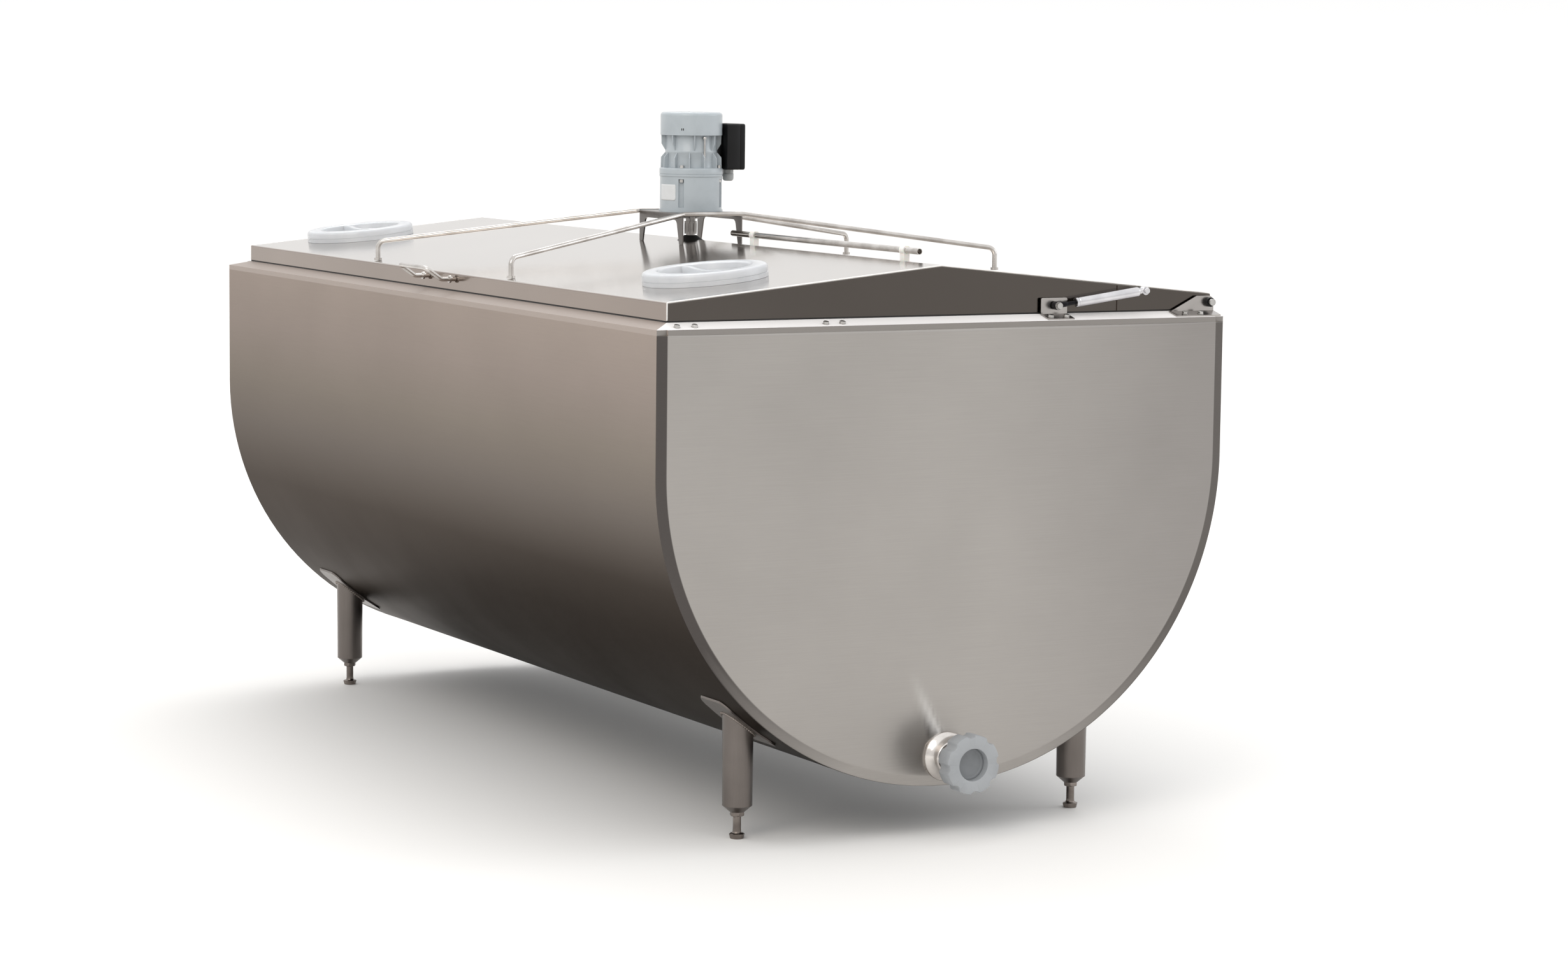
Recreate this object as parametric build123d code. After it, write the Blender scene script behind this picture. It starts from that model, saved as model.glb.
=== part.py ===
from build123d import *
import math
import os

# Bulk milk cooler: an insulated U-shaped tank on four levelling feet, with a gabled
# lid that swings up on the +X side, and a gearmotor that turns the agitator.
# Millimetres, +Z up. The outlet end faces -Y.
# Pieces are built about the tank's own middle, on the floor, and moved at the end so
# that the origin is the middle of the whole machine's footprint.

# Tank body
BODY_WIDTH = 1200
BODY_LENGTH = 2200
BODY_TOP = 954
BODY_BOTTOM = 94
SKIN = 2
INSULATION = 48
END_BEVEL_WIDTH = 20
END_BEVEL_RISE = 5

# Shoulder frame and gasket round the mouth
SHOULDER_WIDTH = 38
SHOULDER_RISE = 10
SHOULDER_LIP = 10
GASKET_WIDTH = 9
GASKET_HEIGHT = 2.7
CLEAR = 0.3
RUN_FIT = 0.05

# Lid
LID_SETBACK_LEFT = 38
LID_SETBACK_RIGHT = 6
LID_END_SETBACK = 37
LID_LIFT = 3
LID_SKIRT_LEFT = 33
LID_SLOPE = 5.9
LID_EDGE_RADIUS = 4

# Lid hinges
HINGE_FROM_EDGE = 10
HINGE_OVER_LID = 13
HINGE_PIN_R = 5
BRACKET_SHEET = 2.5
HINGE_PLATE_GAP = 7.5
HINGE_EAR_R = 12
HINGE_EAR_TOP_LENGTH = 26.4
HINGE_PIN_PROUD = 2
HINGE_CAP_LENGTH = 5
HINGE_CAP_OVER = 1.5
HINGE_FOOT_LENGTH = 100
BUSH_R = 9
BUSH_LENGTH = 9
BUSH_SLEEVE_WALL = 2
DOUBLER_LENGTH = 209
DOUBLER_THICKNESS = 2

# Gas struts
STRUT_ROOT_FROM_HINGE = 344
STRUT_ROOT_OVER_LID = 13
STRUT_LID_FROM_HINGE = 150
STRUT_STUD_OVER_LID = 37.5
STRUT_STANDOFF = 15
STRUT_ROD_R = 4
STRUT_TUBE_R = 9
STRUT_TUBE_START = 41
STRUT_TUBE_WALL = 1.5
STRUT_EYE_R = 8
STRUT_EYE_LENGTH = 12
STRUT_NECK_R = 5.2
STRUT_SOCKET_LENGTH = 14
STRUT_STUD_R = 4
STRUT_STUD_PROUD = 1
STRUT_NUT_HEIGHT = 5
STRUT_FLANGE_OVER = 3
STRUT_FLANGE_THICKNESS = 2
STRUT_GUIDE_LENGTH = 6
STRUT_END_WALL = 3
STRUT_EYE_GAP = 4
STRUT_PISTON_LENGTH = 12
STRUT_PLATE_WIDTH = 57
STRUT_PLATE_OVER_ROOT = 14
STRUT_PLATE_GAP = 3
STRUT_PLATE_CORNER_R = 3

# M6 fasteners on the shoulder
BOLT_HEAD_ACROSS = 10
BOLT_HEAD_HEIGHT = 4
BOLT_SHANK_R = 3
BOLT_LENGTH = 7
WASHER_R = 6
WASHER_THICKNESS = 1.2
HINGE_BOLTS_FROM_PIN = (64, 29)
STRUT_BOLTS_FROM_ROOT = (19, -15)
BOLT_SETBACK = 11
FOOT_MARGIN = 2

# Inlet mouths and their lift-off covers
INLET_FROM_EDGE = 210
INLET_FROM_FRONT = 303
INLET_FROM_REAR = 175
NECK_R = 101
NECK_WALL = 2
NECK_HEIGHT = 20.4
COVER_R = 118
COVER_HEIGHT = 24
COVER_WALL = 3
COVER_EDGE_R = 8
COVER_DISH_R = 85
COVER_DISH_DEPTH = 15
COVER_DISH_EDGE = 3
COVER_GRIP_WIDTH = 12

# Motor bridge
BRIDGE_Y = -28
BRIDGE_WIDTH = 138
BRIDGE_LENGTH = 200
BRIDGE_OVER_LID = 148
BRIDGE_SHEET = 3
BRIDGE_APRON = 14
BRIDGE_LEG_TOP = 27
BRIDGE_LEG_FOOT = 14
BRIDGE_CORNER_R = 12
BRIDGE_FOLD_R = 2.5
BRIDGE_BORE_CLEAR = 2

# Stay rods
ROD_R = 5
ROD_LEFT_FROM_EDGE = 17
ROD_LEFT_Y = 343
ROD_LEFT_ELBOW_OVER_LID = 75
ROD_RIGHT_FROM_EDGE = 34
ROD_RIGHT_Y = 319
ROD_RIGHT_ELBOW_OVER_LID = 79
ROD_BEND_R = 16
ROD_COLLAR_R = 8
ROD_COLLAR_HEIGHT = 5
ROD_FOOT_GAP = 0.1
ROD_COLLAR_GAP = 0.4

# Gearmotor
GEAR_R = 64
GEAR_FLANGE_R = 66
GEAR_HEIGHT = 73
GEAR_FLANGE_HEIGHT = 5
ADAPTER_HEIGHT = 18
ADAPTER_R = 65.5
NECK_BODY_R = 53
MOTOR_LOWER_HEIGHT = 31
MOTOR_UPPER_HEIGHT = 36
RIB_R = 64
RIB_THICKNESS = 2.5
LOWER_RIBS = 12
UPPER_RIBS = 8
RIB_ROOT = 2
LOWER_RIB_SLANT = 11
UPPER_RIB_START = 5
UPPER_RIB_SLANT = 13
UPPER_RIB_SETBACK = 2
UPPER_RIB_TURN = 25
COWL_R = 64
COWL_HEIGHT = 47
COWL_EDGE_R = 7
COWL_SLOTS = 10
COWL_SLOT_LENGTH = 32
COWL_SLOT_WIDTH = 4
COWL_SLOT_DEPTH = 2.5
SCREW_CHANNEL_R = 6
SCREW_CHANNEL_ANGLES = (45, 135, 225, 315)
SCREW_CHANNEL_END = 5
TERMINAL_REACH = 103
TERMINAL_DEPTH = 42
TERMINAL_WIDTH = 90
TERMINAL_BELOW_ADAPTER = 4
TERMINAL_HEIGHT = 95
TERMINAL_LID = 12
TERMINAL_CORNER_R = 5
TERMINAL_EDGE_R = 3
SADDLE_BELOW_NECK = 18
SADDLE_BELOW_COWL = 4
TERMINAL_PAD_OVER = 3
TERMINAL_PAD_SINK = 3
GLAND_X = 86
GLAND_R = 11.5
GLAND_BORE_R = 4
GLAND_LENGTH = 24
GLAND_THREAD_R = 8
GLAND_HEX_HEIGHT = 8
GLAND_HEX_OVER = 4
GLAND_DOME_R = 4
GLAND_FLOOR = 2

# Agitator drive
OUTPUT_SHAFT_R = 10
AGITATOR_SHAFT_R = 9
AGITATOR_OVER_FLOOR = 111
BEARING_CAP_R = 24
BEARING_CAP_HEIGHT = 11
BEARING_FLANGE_HEIGHT = 6.6
BEARING_NOSE_R = 18
COUPLING_R = 13
COUPLING_OVER_RIDGE = 11
COUPLING_BELOW_BRIDGE = 20
COUPLING_SLOTS = 8
COUPLING_SLOT_WIDTH = 2
COUPLING_SLOT_DEPTH = 1.25
COUPLING_SLOT_MARGIN = 4
COUPLING_UPPER_BORE = 12
SEAL_GAP = 3
SEAL_R = 28
SEAL_TUBE_R = 14
PADDLE_LENGTH = 135
PADDLE_WIDTH = 64
PADDLE_THICKNESS = 3
PADDLE_PITCH = 30
PADDLE_TIP_R = 14
PADDLE_HUB_R = 16
PADDLE_HUB_HEIGHT = 46

# Dipstick and its two clips
DIPSTICK_X = 40
DIPSTICK_OVER_LID = 108
DIPSTICK_R = 6
DIPSTICK_REAR_Y = -143
DIPSTICK_LENGTH = 768
DIPSTICK_END_BORE_R = 4.8
DIPSTICK_END_BORE = 20
CLIP_FROM_END = (95, 712)
CLIP_LENGTH = 16
CLIP_WALL = 2.5
CLIP_MOUTH = 8
CLIP_FOOT_HALF_WIDTH = 6

# Lid handle
HANDLE_Y = -30
HANDLE_SPACING = 136
HANDLE_R = 4.5
HANDLE_OVER_LID = 21
HANDLE_OUT = 26
HANDLE_REACH = 59
HANDLE_RISE = 23
HANDLE_BEND_R = 10
HANDLE_COLLAR_R = 7.5
HANDLE_COLLAR_LENGTH = 4

# Legs and levelling feet
LEG_FROM_SIDE = 238
LEG_FROM_END = 133
LEG_R_TOP = 30
LEG_R_BOTTOM = 28
LEG_BOTTOM = 62
LEG_CONE_HEIGHT = 12
LEG_BORE_DEPTH = 95
LEG_PAD_WIDTH = 116
LEG_PAD_LENGTH = 104
LEG_PAD_THICKNESS = 3
LEG_PAD_CORNER_R = 18
LEG_NOSE_MARGIN = 2
SPINDLE_R = 8
SPINDLE_INSIDE = 75
FOOT_HEX_ACROSS = 26
FOOT_HEIGHT = 10
LOCK_NUT_ACROSS = 24
LOCK_NUT_HEIGHT = 8

# Milk outlet
OUTLET_Z = 150
OUTLET_BORE_R = 25
OUTLET_WALL = 3
OUTLET_COLLAR_LENGTH = 25
OUTLET_COLLAR_PROFILE = ((45, 0), (45, 7), (43, 9.5), (37, 15), (31, 25))
OUTLET_THREAD_R = 33
OUTLET_THREAD_RUNOUT = 10
OUTLET_REACH = 85
NUT_R = 55
NUT_LENGTH = 37
NUT_SCALLOPS = 8
NUT_SCALLOP_R = 11
NUT_SCALLOP_DEPTH = 5
NUT_RECESS_R = 30
NUT_OVERLAP = 18
NUT_CHAMFER = 1.5
NUT_FIRST_SCALLOP = 5
BLANK_THICKNESS = 2.7
BLANK_PLAY = 0.5
BLANK_RIM = 6
BLANK_DISH_DEPTH = 0.8

# Drain channel and cooling circuit in the foam
CHANNEL_TROUGH = 150
EVAPORATOR_ARC = 100
EVAPORATOR_REAR_GAP = 94
EVAPORATOR_SHEET = 2
EVAPORATOR_CHANNELS = 9
CHANNEL_R = 5
SUCTION_R = 11
LIQUID_R = 5
PIPE_X = 60
PIPE_Z = 160
PIPE_STUB = 75
PIPE_WALL = 1
PIPE_SOCKET_DEPTH = 20
GROMMET_WALL = 5
POCKET_X = -160
POCKET_Z = 300
POCKET_R = 7
POCKET_BORE_R = 5

# Worked out from the values above
HALF_W = BODY_WIDTH / 2
HALF_L = BODY_LENGTH / 2
CURVE_Z = BODY_BOTTOM + HALF_W
FACE_Y = HALF_L + END_BEVEL_RISE
WALL = SKIN + INSULATION
VESSEL_W = HALF_W - WALL
VESSEL_L = HALF_L - WALL
SHELL_TOP = BODY_TOP - SHOULDER_LIP
RIM_Z = BODY_TOP + SHOULDER_RISE
SHOULDER_TILT = math.degrees(math.atan2(SHOULDER_RISE, SHOULDER_WIDTH))
LID_Z = RIM_Z + LID_LIFT
LID_LEFT = HALF_W - LID_SETBACK_LEFT
LID_RIGHT = HALF_W - LID_SETBACK_RIGHT
LID_L = HALF_L - LID_END_SETBACK
SLOPE = math.tan(math.radians(LID_SLOPE))
RIDGE_Z = LID_Z + LID_SKIRT_LEFT + LID_LEFT * SLOPE
HINGE_Z = LID_Z + HINGE_OVER_LID
HANDLE_Z = LID_Z + HANDLE_OVER_LID
STRUT_ROOT_Z = LID_Z + STRUT_ROOT_OVER_LID
STRUT_LID_Z = LID_Z + STRUT_STUD_OVER_LID
STRUT_PLATE_TOP = STRUT_ROOT_Z + STRUT_PLATE_OVER_ROOT
ROD_LEFT_ELBOW_Z = LID_Z + ROD_LEFT_ELBOW_OVER_LID
ROD_RIGHT_ELBOW_Z = LID_Z + ROD_RIGHT_ELBOW_OVER_LID
DIPSTICK_Z = LID_Z + DIPSTICK_OVER_LID
GABLE_Y = LID_L + DOUBLER_THICKNESS
HINGE_X = LID_RIGHT - HINGE_FROM_EDGE
STRUT_ROOT_X = HINGE_X - STRUT_ROOT_FROM_HINGE
STRUT_LID_X = HINGE_X - STRUT_LID_FROM_HINGE
HINGE_BOLT_X = tuple(HINGE_X - back for back in HINGE_BOLTS_FROM_PIN)
STRUT_BOLT_X = tuple(STRUT_ROOT_X - back for back in STRUT_BOLTS_FROM_ROOT)
HINGE_Y = GABLE_Y + HINGE_PLATE_GAP
STRUT_Y = GABLE_Y + STRUT_STANDOFF
STRUT_ANGLE = math.degrees(math.atan2(STRUT_LID_Z - STRUT_ROOT_Z, STRUT_LID_X - STRUT_ROOT_X))
STRUT_SPAN = math.hypot(STRUT_LID_X - STRUT_ROOT_X, STRUT_LID_Z - STRUT_ROOT_Z)
BRIDGE_TOP = LID_Z + BRIDGE_OVER_LID
GEAR_TOP = BRIDGE_TOP + GEAR_HEIGHT
ADAPTER_TOP = GEAR_TOP + ADAPTER_HEIGHT
TERMINAL_LOW = ADAPTER_TOP - TERMINAL_BELOW_ADAPTER
TERMINAL_HIGH = TERMINAL_LOW + TERMINAL_HEIGHT
COUPLING_TOP = BRIDGE_TOP - COUPLING_BELOW_BRIDGE
COUPLING_BOTTOM = RIDGE_Z + COUPLING_OVER_RIDGE
AGITATOR_BOTTOM = BODY_BOTTOM + AGITATOR_OVER_FLOOR
NECK_Z = ADAPTER_TOP + MOTOR_LOWER_HEIGHT
COWL_Z = NECK_Z + MOTOR_UPPER_HEIGHT
OUTLET_PIPE_R = OUTLET_BORE_R + OUTLET_WALL
INLET_X = INLET_FROM_EDGE - LID_LEFT
INLET_FRONT_Y = INLET_FROM_FRONT - HALF_L
INLET_REAR_Y = HALF_L - INLET_FROM_REAR
ROD_LEFT_X = ROD_LEFT_FROM_EDGE - LID_LEFT
ROD_RIGHT_X = LID_RIGHT - ROD_RIGHT_FROM_EDGE
LEG_X = HALF_W - LEG_FROM_SIDE
LEG_Y = HALF_L - LEG_FROM_END
LEG_CORNERS = {"fl": (-1, -1), "fr": (1, -1), "rl": (-1, 1), "rr": (1, 1)}
ENDS = {"front": -1, "rear": 1}

# The machine's footprint reaches from the handle to the hinge side, and from the
# outlet nut to the pipe stubs; its middle is the origin of every saved piece.
REACH_LEFT = LID_LEFT + HANDLE_REACH + HANDLE_R
REACH_FRONT = FACE_Y + OUTLET_REACH + NUT_LENGTH - NUT_OVERLAP
REACH_REAR = FACE_Y + PIPE_STUB
SHIFT_X = (REACH_LEFT - HALF_W) / 2
SHIFT_Y = (REACH_FRONT - REACH_REAR) / 2


def lid_top(x):
    """Height of the lid's top face at a distance from the ridge."""
    return RIDGE_Z - abs(x) * SLOPE


def save(name, shape):
    """Write one sub-part, moved to the footprint's middle."""
    export_step(Pos(SHIFT_X, SHIFT_Y, 0) * shape, f"parts/{name}.step")


def group(solids):
    """Several separate solids that share one node."""
    return Compound([solid for shape in solids for solid in shape.solids()])


def along_y(face, y_from, y_to):
    """An XZ outline made solid between two Y stations."""
    return Pos(0, y_to, 0) * extrude(face, y_to - y_from)


def rod_y(x, z, radius, y_from, y_to):
    """A round bar along Y."""
    return along_y(Plane.XZ * Pos(x, z) * Circle(radius), y_from, y_to)


def tube_z(x, y, radius, z_from, z_to):
    """A round bar along Z."""
    return Pos(x, y, z_from) * Cylinder(radius, z_to - z_from,
                                        align=(Align.CENTER, Align.CENTER, Align.MIN))


def slab(x_from, x_to, y_from, y_to, z_from, z_to):
    """A box between six planes."""
    return Pos(x_from, y_from, z_from) * Box(x_to - x_from, y_to - y_from, z_to - z_from,
                                             align=(Align.MIN, Align.MIN, Align.MIN))


def both_ends(front_shape):
    """The front piece and its mirror image at the rear end."""
    return {"front": front_shape, "rear": mirror(front_shape, about=Plane.XZ)}


def u_face(radius, top):
    """The tank's section: straight sides on a half-round bottom."""
    sides = Polyline((-radius, CURVE_Z), (-radius, top), (radius, top), (radius, CURVE_Z))
    bottom = ThreePointArc((radius, CURVE_Z), (0, CURVE_Z - radius), (-radius, CURVE_Z))
    return Plane.XZ * make_face(sides + bottom)


def end_dish(radius, top, y_base, y_face):
    """The bevelled end panel's form, from its rim to its raised face."""
    rim = Pos(0, y_base, 0) * u_face(radius, top)
    face = Pos(0, y_face, 0) * u_face(radius - END_BEVEL_WIDTH, top)
    return loft([rim, face], ruled=True)


# Tank

def outer_shell():
    section = u_face(HALF_W, SHELL_TOP) - u_face(HALF_W - SKIN, SHELL_TOP + 1)
    return along_y(section, -HALF_L, HALF_L)


def end_panel(side):
    outside = end_dish(HALF_W, SHELL_TOP, side * HALF_L, side * FACE_Y)
    inside = end_dish(HALF_W - SKIN, SHELL_TOP - SKIN, side * HALF_L, side * (FACE_Y - SKIN))
    panel = outside - inside
    if side < 0:
        return panel - rod_y(0, OUTLET_Z, OUTLET_PIPE_R, -FACE_Y - 1, -HALF_L)
    for hole in (rod_y(PIPE_X, PIPE_Z, SUCTION_R + GROMMET_WALL, HALF_L, FACE_Y + 1),
                 rod_y(-PIPE_X, PIPE_Z, LIQUID_R + GROMMET_WALL, HALF_L, FACE_Y + 1),
                 rod_y(POCKET_X, POCKET_Z, POCKET_R, HALF_L, FACE_Y + 1)):
        panel -= hole
    return panel


def rim_outline(offset, z):
    return Pos(0, 0, z) * Rectangle(BODY_WIDTH - 2 * offset, BODY_LENGTH - 2 * offset)


def rim_solid(offset, drop):
    """The shoulder as a solid hip: upright lip, then four mitred slopes."""
    lip = extrude(rim_outline(offset, SHELL_TOP), SHOULDER_LIP - drop)
    slopes = loft([rim_outline(offset, BODY_TOP - drop),
                   rim_outline(offset + SHOULDER_WIDTH, RIM_Z - drop)], ruled=True)
    return lip + slopes


def rim_frame():
    mouth = extrude(rim_outline(WALL, SHELL_TOP - 1), RIM_Z)
    frame = rim_solid(0, 0) - rim_solid(SKIN, SKIN) - mouth
    for side in ENDS.values():
        ledge = slab(-HALF_W + END_BEVEL_WIDTH, HALF_W - END_BEVEL_WIDTH,
                     min(side * HALF_L, side * FACE_Y), max(side * HALF_L, side * FACE_Y),
                     SHELL_TOP, BODY_TOP)
        frame += ledge
    for bolt in shoulder_bolt_places():
        frame -= bolt * Cylinder(BOLT_SHANK_R, 4 * BOLT_LENGTH)
    return frame


def rim_gasket():
    inset = SHOULDER_WIDTH + CLEAR
    outer = extrude(rim_outline(inset, RIM_Z), GASKET_HEIGHT)
    inner = extrude(rim_outline(inset + GASKET_WIDTH, RIM_Z), GASKET_HEIGHT)
    return outer - inner


def vessel_form(grow):
    """The milk vessel's volume with its drain channel, grown by a wall."""
    body = along_y(u_face(VESSEL_W + grow, RIM_Z - SKIN), -VESSEL_L - grow, VESSEL_L + grow)
    channel_r = OUTLET_BORE_R + OUTLET_WALL + grow
    channel = rod_y(0, OUTLET_Z, channel_r, -VESSEL_L - grow, -VESSEL_L + CHANNEL_TROUGH)
    return body + channel


def inner_vessel():
    vessel = vessel_form(SKIN) - vessel_form(0)
    vessel -= rod_y(0, OUTLET_Z, OUTLET_BORE_R + OUTLET_WALL, -VESSEL_L - SKIN, -VESSEL_L)
    return vessel


def evaporator_plate():
    """Pillow plate under the vessel: a curved sheet with pressed channels along it."""
    inner_r = VESSEL_W + SKIN
    sector = []
    for edge in (-1, 1):
        angle = math.radians(edge * EVAPORATOR_ARC / 2)
        sector.append((inner_r * math.sin(angle), CURVE_Z - inner_r * math.cos(angle)))
    wedge = make_face(Polyline((0, CURVE_Z), *[(x * 2, CURVE_Z + (z - CURVE_Z) * 2) for x, z in sector],
                               (0, CURVE_Z)))
    sheet = Pos(0, CURVE_Z) * (Circle(inner_r + EVAPORATOR_SHEET) - Circle(inner_r))
    bumps = []
    for i in range(EVAPORATOR_CHANNELS):
        angle = math.radians(EVAPORATOR_ARC * ((i + 0.5) / EVAPORATOR_CHANNELS - 0.5))
        bumps.append(Pos(inner_r * math.sin(angle), CURVE_Z - inner_r * math.cos(angle)) * Circle(CHANNEL_R))
    section = (sheet + bumps) - Pos(0, CURVE_Z) * Circle(inner_r)
    section = section & wedge
    start = -VESSEL_L + CHANNEL_TROUGH + 2 * OUTLET_PIPE_R
    return along_y(Plane.XZ * section, start, VESSEL_L - EVAPORATOR_REAR_GAP)


def refrigerant_stub(x, radius):
    """A copper pipe from the vessel out through the rear panel, its end swaged to a socket."""
    start = VESSEL_L + SKIN
    mouth = REACH_REAR - PIPE_SOCKET_DEPTH
    socket_r = radius + RUN_FIT
    pipe = rod_y(x, PIPE_Z, radius, start, mouth)
    pipe += rod_y(x, PIPE_Z, socket_r + PIPE_WALL, mouth - PIPE_WALL, REACH_REAR)
    pipe -= rod_y(x, PIPE_Z, radius - PIPE_WALL, start + PIPE_WALL, mouth + 1)
    return pipe - rod_y(x, PIPE_Z, socket_r, mouth, REACH_REAR + 1)


def pipe_grommets():
    rings = []
    for x, radius in ((PIPE_X, SUCTION_R), (-PIPE_X, LIQUID_R)):
        sleeve = rod_y(x, PIPE_Z, radius + GROMMET_WALL, FACE_Y - SKIN, FACE_Y)
        flange = rod_y(x, PIPE_Z, radius + 2 * GROMMET_WALL, FACE_Y, FACE_Y + SKIN)
        rings.append(sleeve + flange - rod_y(x, PIPE_Z, radius, FACE_Y - 2 * SKIN, FACE_Y + 2 * SKIN))
    return group(rings)


def thermometer_pocket():
    start = VESSEL_L + SKIN
    pocket = rod_y(POCKET_X, POCKET_Z, POCKET_R, start, FACE_Y + SKIN)
    return pocket - rod_y(POCKET_X, POCKET_Z, POCKET_BORE_R, start + SKIN, FACE_Y + 2 * SKIN)


def insulation_foam():
    """The foam fills all the room between the vessel and the skins."""
    foam = along_y(u_face(HALF_W - SKIN, SHELL_TOP), -HALF_L, HALF_L)
    for side in ENDS.values():
        foam += end_dish(HALF_W - SKIN, SHELL_TOP - SKIN, side * HALF_L, side * (FACE_Y - SKIN))
    foam -= vessel_form(SKIN)
    foam -= rod_y(0, OUTLET_Z, OUTLET_PIPE_R, -FACE_Y, -VESSEL_L)
    foam -= evaporator_plate()
    for x, z, radius in ((PIPE_X, PIPE_Z, SUCTION_R), (-PIPE_X, PIPE_Z, LIQUID_R),
                         (POCKET_X, POCKET_Z, POCKET_R)):
        foam -= rod_y(x, z, radius, VESSEL_L, FACE_Y)
    return foam


# Legs and levelling feet

def leg_places():
    return {name: (sx * LEG_X, sy * LEG_Y) for name, (sx, sy) in LEG_CORNERS.items()}


def leg_pads():
    band = along_y(u_face(HALF_W + LEG_PAD_THICKNESS, BODY_TOP) - u_face(HALF_W, BODY_TOP + 1),
                   -HALF_L, HALF_L)
    pads = []
    for x, y in leg_places().values():
        plan = RectangleRounded(LEG_PAD_WIDTH, LEG_PAD_LENGTH, LEG_PAD_CORNER_R)
        pads.append(band & (Pos(x, y, 0) * extrude(plan, CURVE_Z)))
    return group(pads)


def leg(x, y):
    """A slightly tapered tube, cut to the curve of its pad, with a closed lower end."""
    shank = Pos(x, y, LEG_BOTTOM) * Cone(LEG_R_BOTTOM, LEG_R_TOP, CURVE_Z / 2 - LEG_BOTTOM,
                                         align=(Align.CENTER, Align.CENTER, Align.MIN))
    shank -= along_y(u_face(HALF_W + LEG_PAD_THICKNESS, BODY_TOP), -HALF_L, HALF_L)
    nose = Pos(x, y, LEG_BOTTOM - LEG_CONE_HEIGHT) * Cone(
        LOCK_NUT_ACROSS / 2 + LEG_NOSE_MARGIN, LEG_R_BOTTOM, LEG_CONE_HEIGHT,
        align=(Align.CENTER, Align.CENTER, Align.MIN))
    low = LEG_BOTTOM - LEG_CONE_HEIGHT
    return shank + nose - tube_z(x, y, SPINDLE_R + RUN_FIT, low - 1, low + LEG_BORE_DEPTH)


def hexagon(across):
    return RegularPolygon(across / 2, 6, major_radius=False)


def foot(x, y):
    """Levelling foot: a hexagon head on a threaded spindle."""
    head = Pos(x, y, 0) * extrude(hexagon(FOOT_HEX_ACROSS), FOOT_HEIGHT)
    head &= Pos(x, y, 0) * Cone(FOOT_HEX_ACROSS / 2, FOOT_HEX_ACROSS / 2 + FOOT_HEIGHT, FOOT_HEIGHT,
                                align=(Align.CENTER, Align.CENTER, Align.MIN))
    top = LEG_BOTTOM - LEG_CONE_HEIGHT + SPINDLE_INSIDE
    return head + tube_z(x, y, SPINDLE_R, FOOT_HEIGHT, top)


def foot_lock_nuts():
    low = LEG_BOTTOM - LEG_CONE_HEIGHT - LOCK_NUT_HEIGHT
    nuts = []
    for x, y in leg_places().values():
        nut = Pos(x, y, low) * extrude(hexagon(LOCK_NUT_ACROSS), LOCK_NUT_HEIGHT)
        nuts.append(nut - tube_z(x, y, SPINDLE_R + RUN_FIT, low - 1, low + LOCK_NUT_HEIGHT + 1))
    return group(nuts)


# Milk outlet

def revolve_outlet(points):
    """A ring about the outlet's axis from (radius, distance out of the panel) points."""
    outline = make_face(Polyline(*points, points[0]))
    ring = revolve(Plane.XY * outline, Axis.Y)
    return Pos(0, -FACE_Y, OUTLET_Z) * mirror(ring, about=Plane.XZ)


def outlet_pipe():
    pipe = rod_y(0, OUTLET_Z, OUTLET_PIPE_R, -FACE_Y - OUTLET_REACH, -VESSEL_L)
    male = rod_y(0, OUTLET_Z, OUTLET_THREAD_R, -FACE_Y - OUTLET_REACH,
                 -FACE_Y - OUTLET_REACH + NUT_OVERLAP + OUTLET_THREAD_RUNOUT)
    return pipe + male - rod_y(0, OUTLET_Z, OUTLET_BORE_R, -FACE_Y - OUTLET_REACH - 1, -VESSEL_L + 1)


def outlet_collar():
    """Flared bright collar: a rolled rim on the panel that narrows to the pipe."""
    profile = [(OUTLET_PIPE_R, 0), *OUTLET_COLLAR_PROFILE, (OUTLET_PIPE_R, OUTLET_COLLAR_LENGTH)]
    return revolve_outlet(profile)


def blank_place():
    return OUTLET_REACH + CLEAR


def outlet_blank():
    start = -FACE_Y - blank_place()
    disc = rod_y(0, OUTLET_Z, OUTLET_THREAD_R - BLANK_PLAY, start - BLANK_THICKNESS, start)
    dish = rod_y(0, OUTLET_Z, NUT_RECESS_R - BLANK_RIM, start - BLANK_THICKNESS - 1,
                 start - BLANK_THICKNESS + BLANK_DISH_DEPTH)
    return disc - dish


def outlet_nut():
    """Scalloped round nut with a bored face that traps the blank."""
    back = -FACE_Y - OUTLET_REACH + NUT_OVERLAP
    front = back - NUT_LENGTH
    nut = rod_y(0, OUTLET_Z, NUT_R, front, back)
    edges = nut.edges().filter_by(GeomType.CIRCLE)
    nut = chamfer(edges, NUT_CHAMFER)
    for i in range(NUT_SCALLOPS):
        angle = math.radians(NUT_FIRST_SCALLOP + i * 360 / NUT_SCALLOPS)
        reach = NUT_R + NUT_SCALLOP_R - NUT_SCALLOP_DEPTH
        nut -= rod_y(reach * math.cos(angle), OUTLET_Z + reach * math.sin(angle),
                     NUT_SCALLOP_R, front - 1, back + 1)
    shelf = -FACE_Y - blank_place() - BLANK_THICKNESS - CLEAR
    nut -= rod_y(0, OUTLET_Z, OUTLET_THREAD_R + RUN_FIT, shelf, back + 1)
    nut -= rod_y(0, OUTLET_Z, NUT_RECESS_R, front - 1, shelf + 1)
    return nut


# Lid

def lid_face(inset):
    """The lid's gabled section, inset by a sheet."""
    left, right = LID_LEFT - inset, LID_RIGHT - inset
    drop = inset / math.cos(math.radians(LID_SLOPE))
    return Plane.XZ * make_face(Polyline(
        (-left, LID_Z), (-left, lid_top(left) - drop), (0, RIDGE_Z - drop),
        (right, lid_top(right) - drop), (right, LID_Z), (-left, LID_Z)))


def slope_plane(x, y):
    """Work plane on the left slope: its Z is the slope's outward normal."""
    tilt = math.radians(LID_SLOPE)
    return Plane(origin=(x, y, lid_top(x)), x_dir=(math.cos(tilt), 0, math.sin(tilt)),
                 z_dir=(-math.sin(tilt), 0, math.cos(tilt)))


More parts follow.
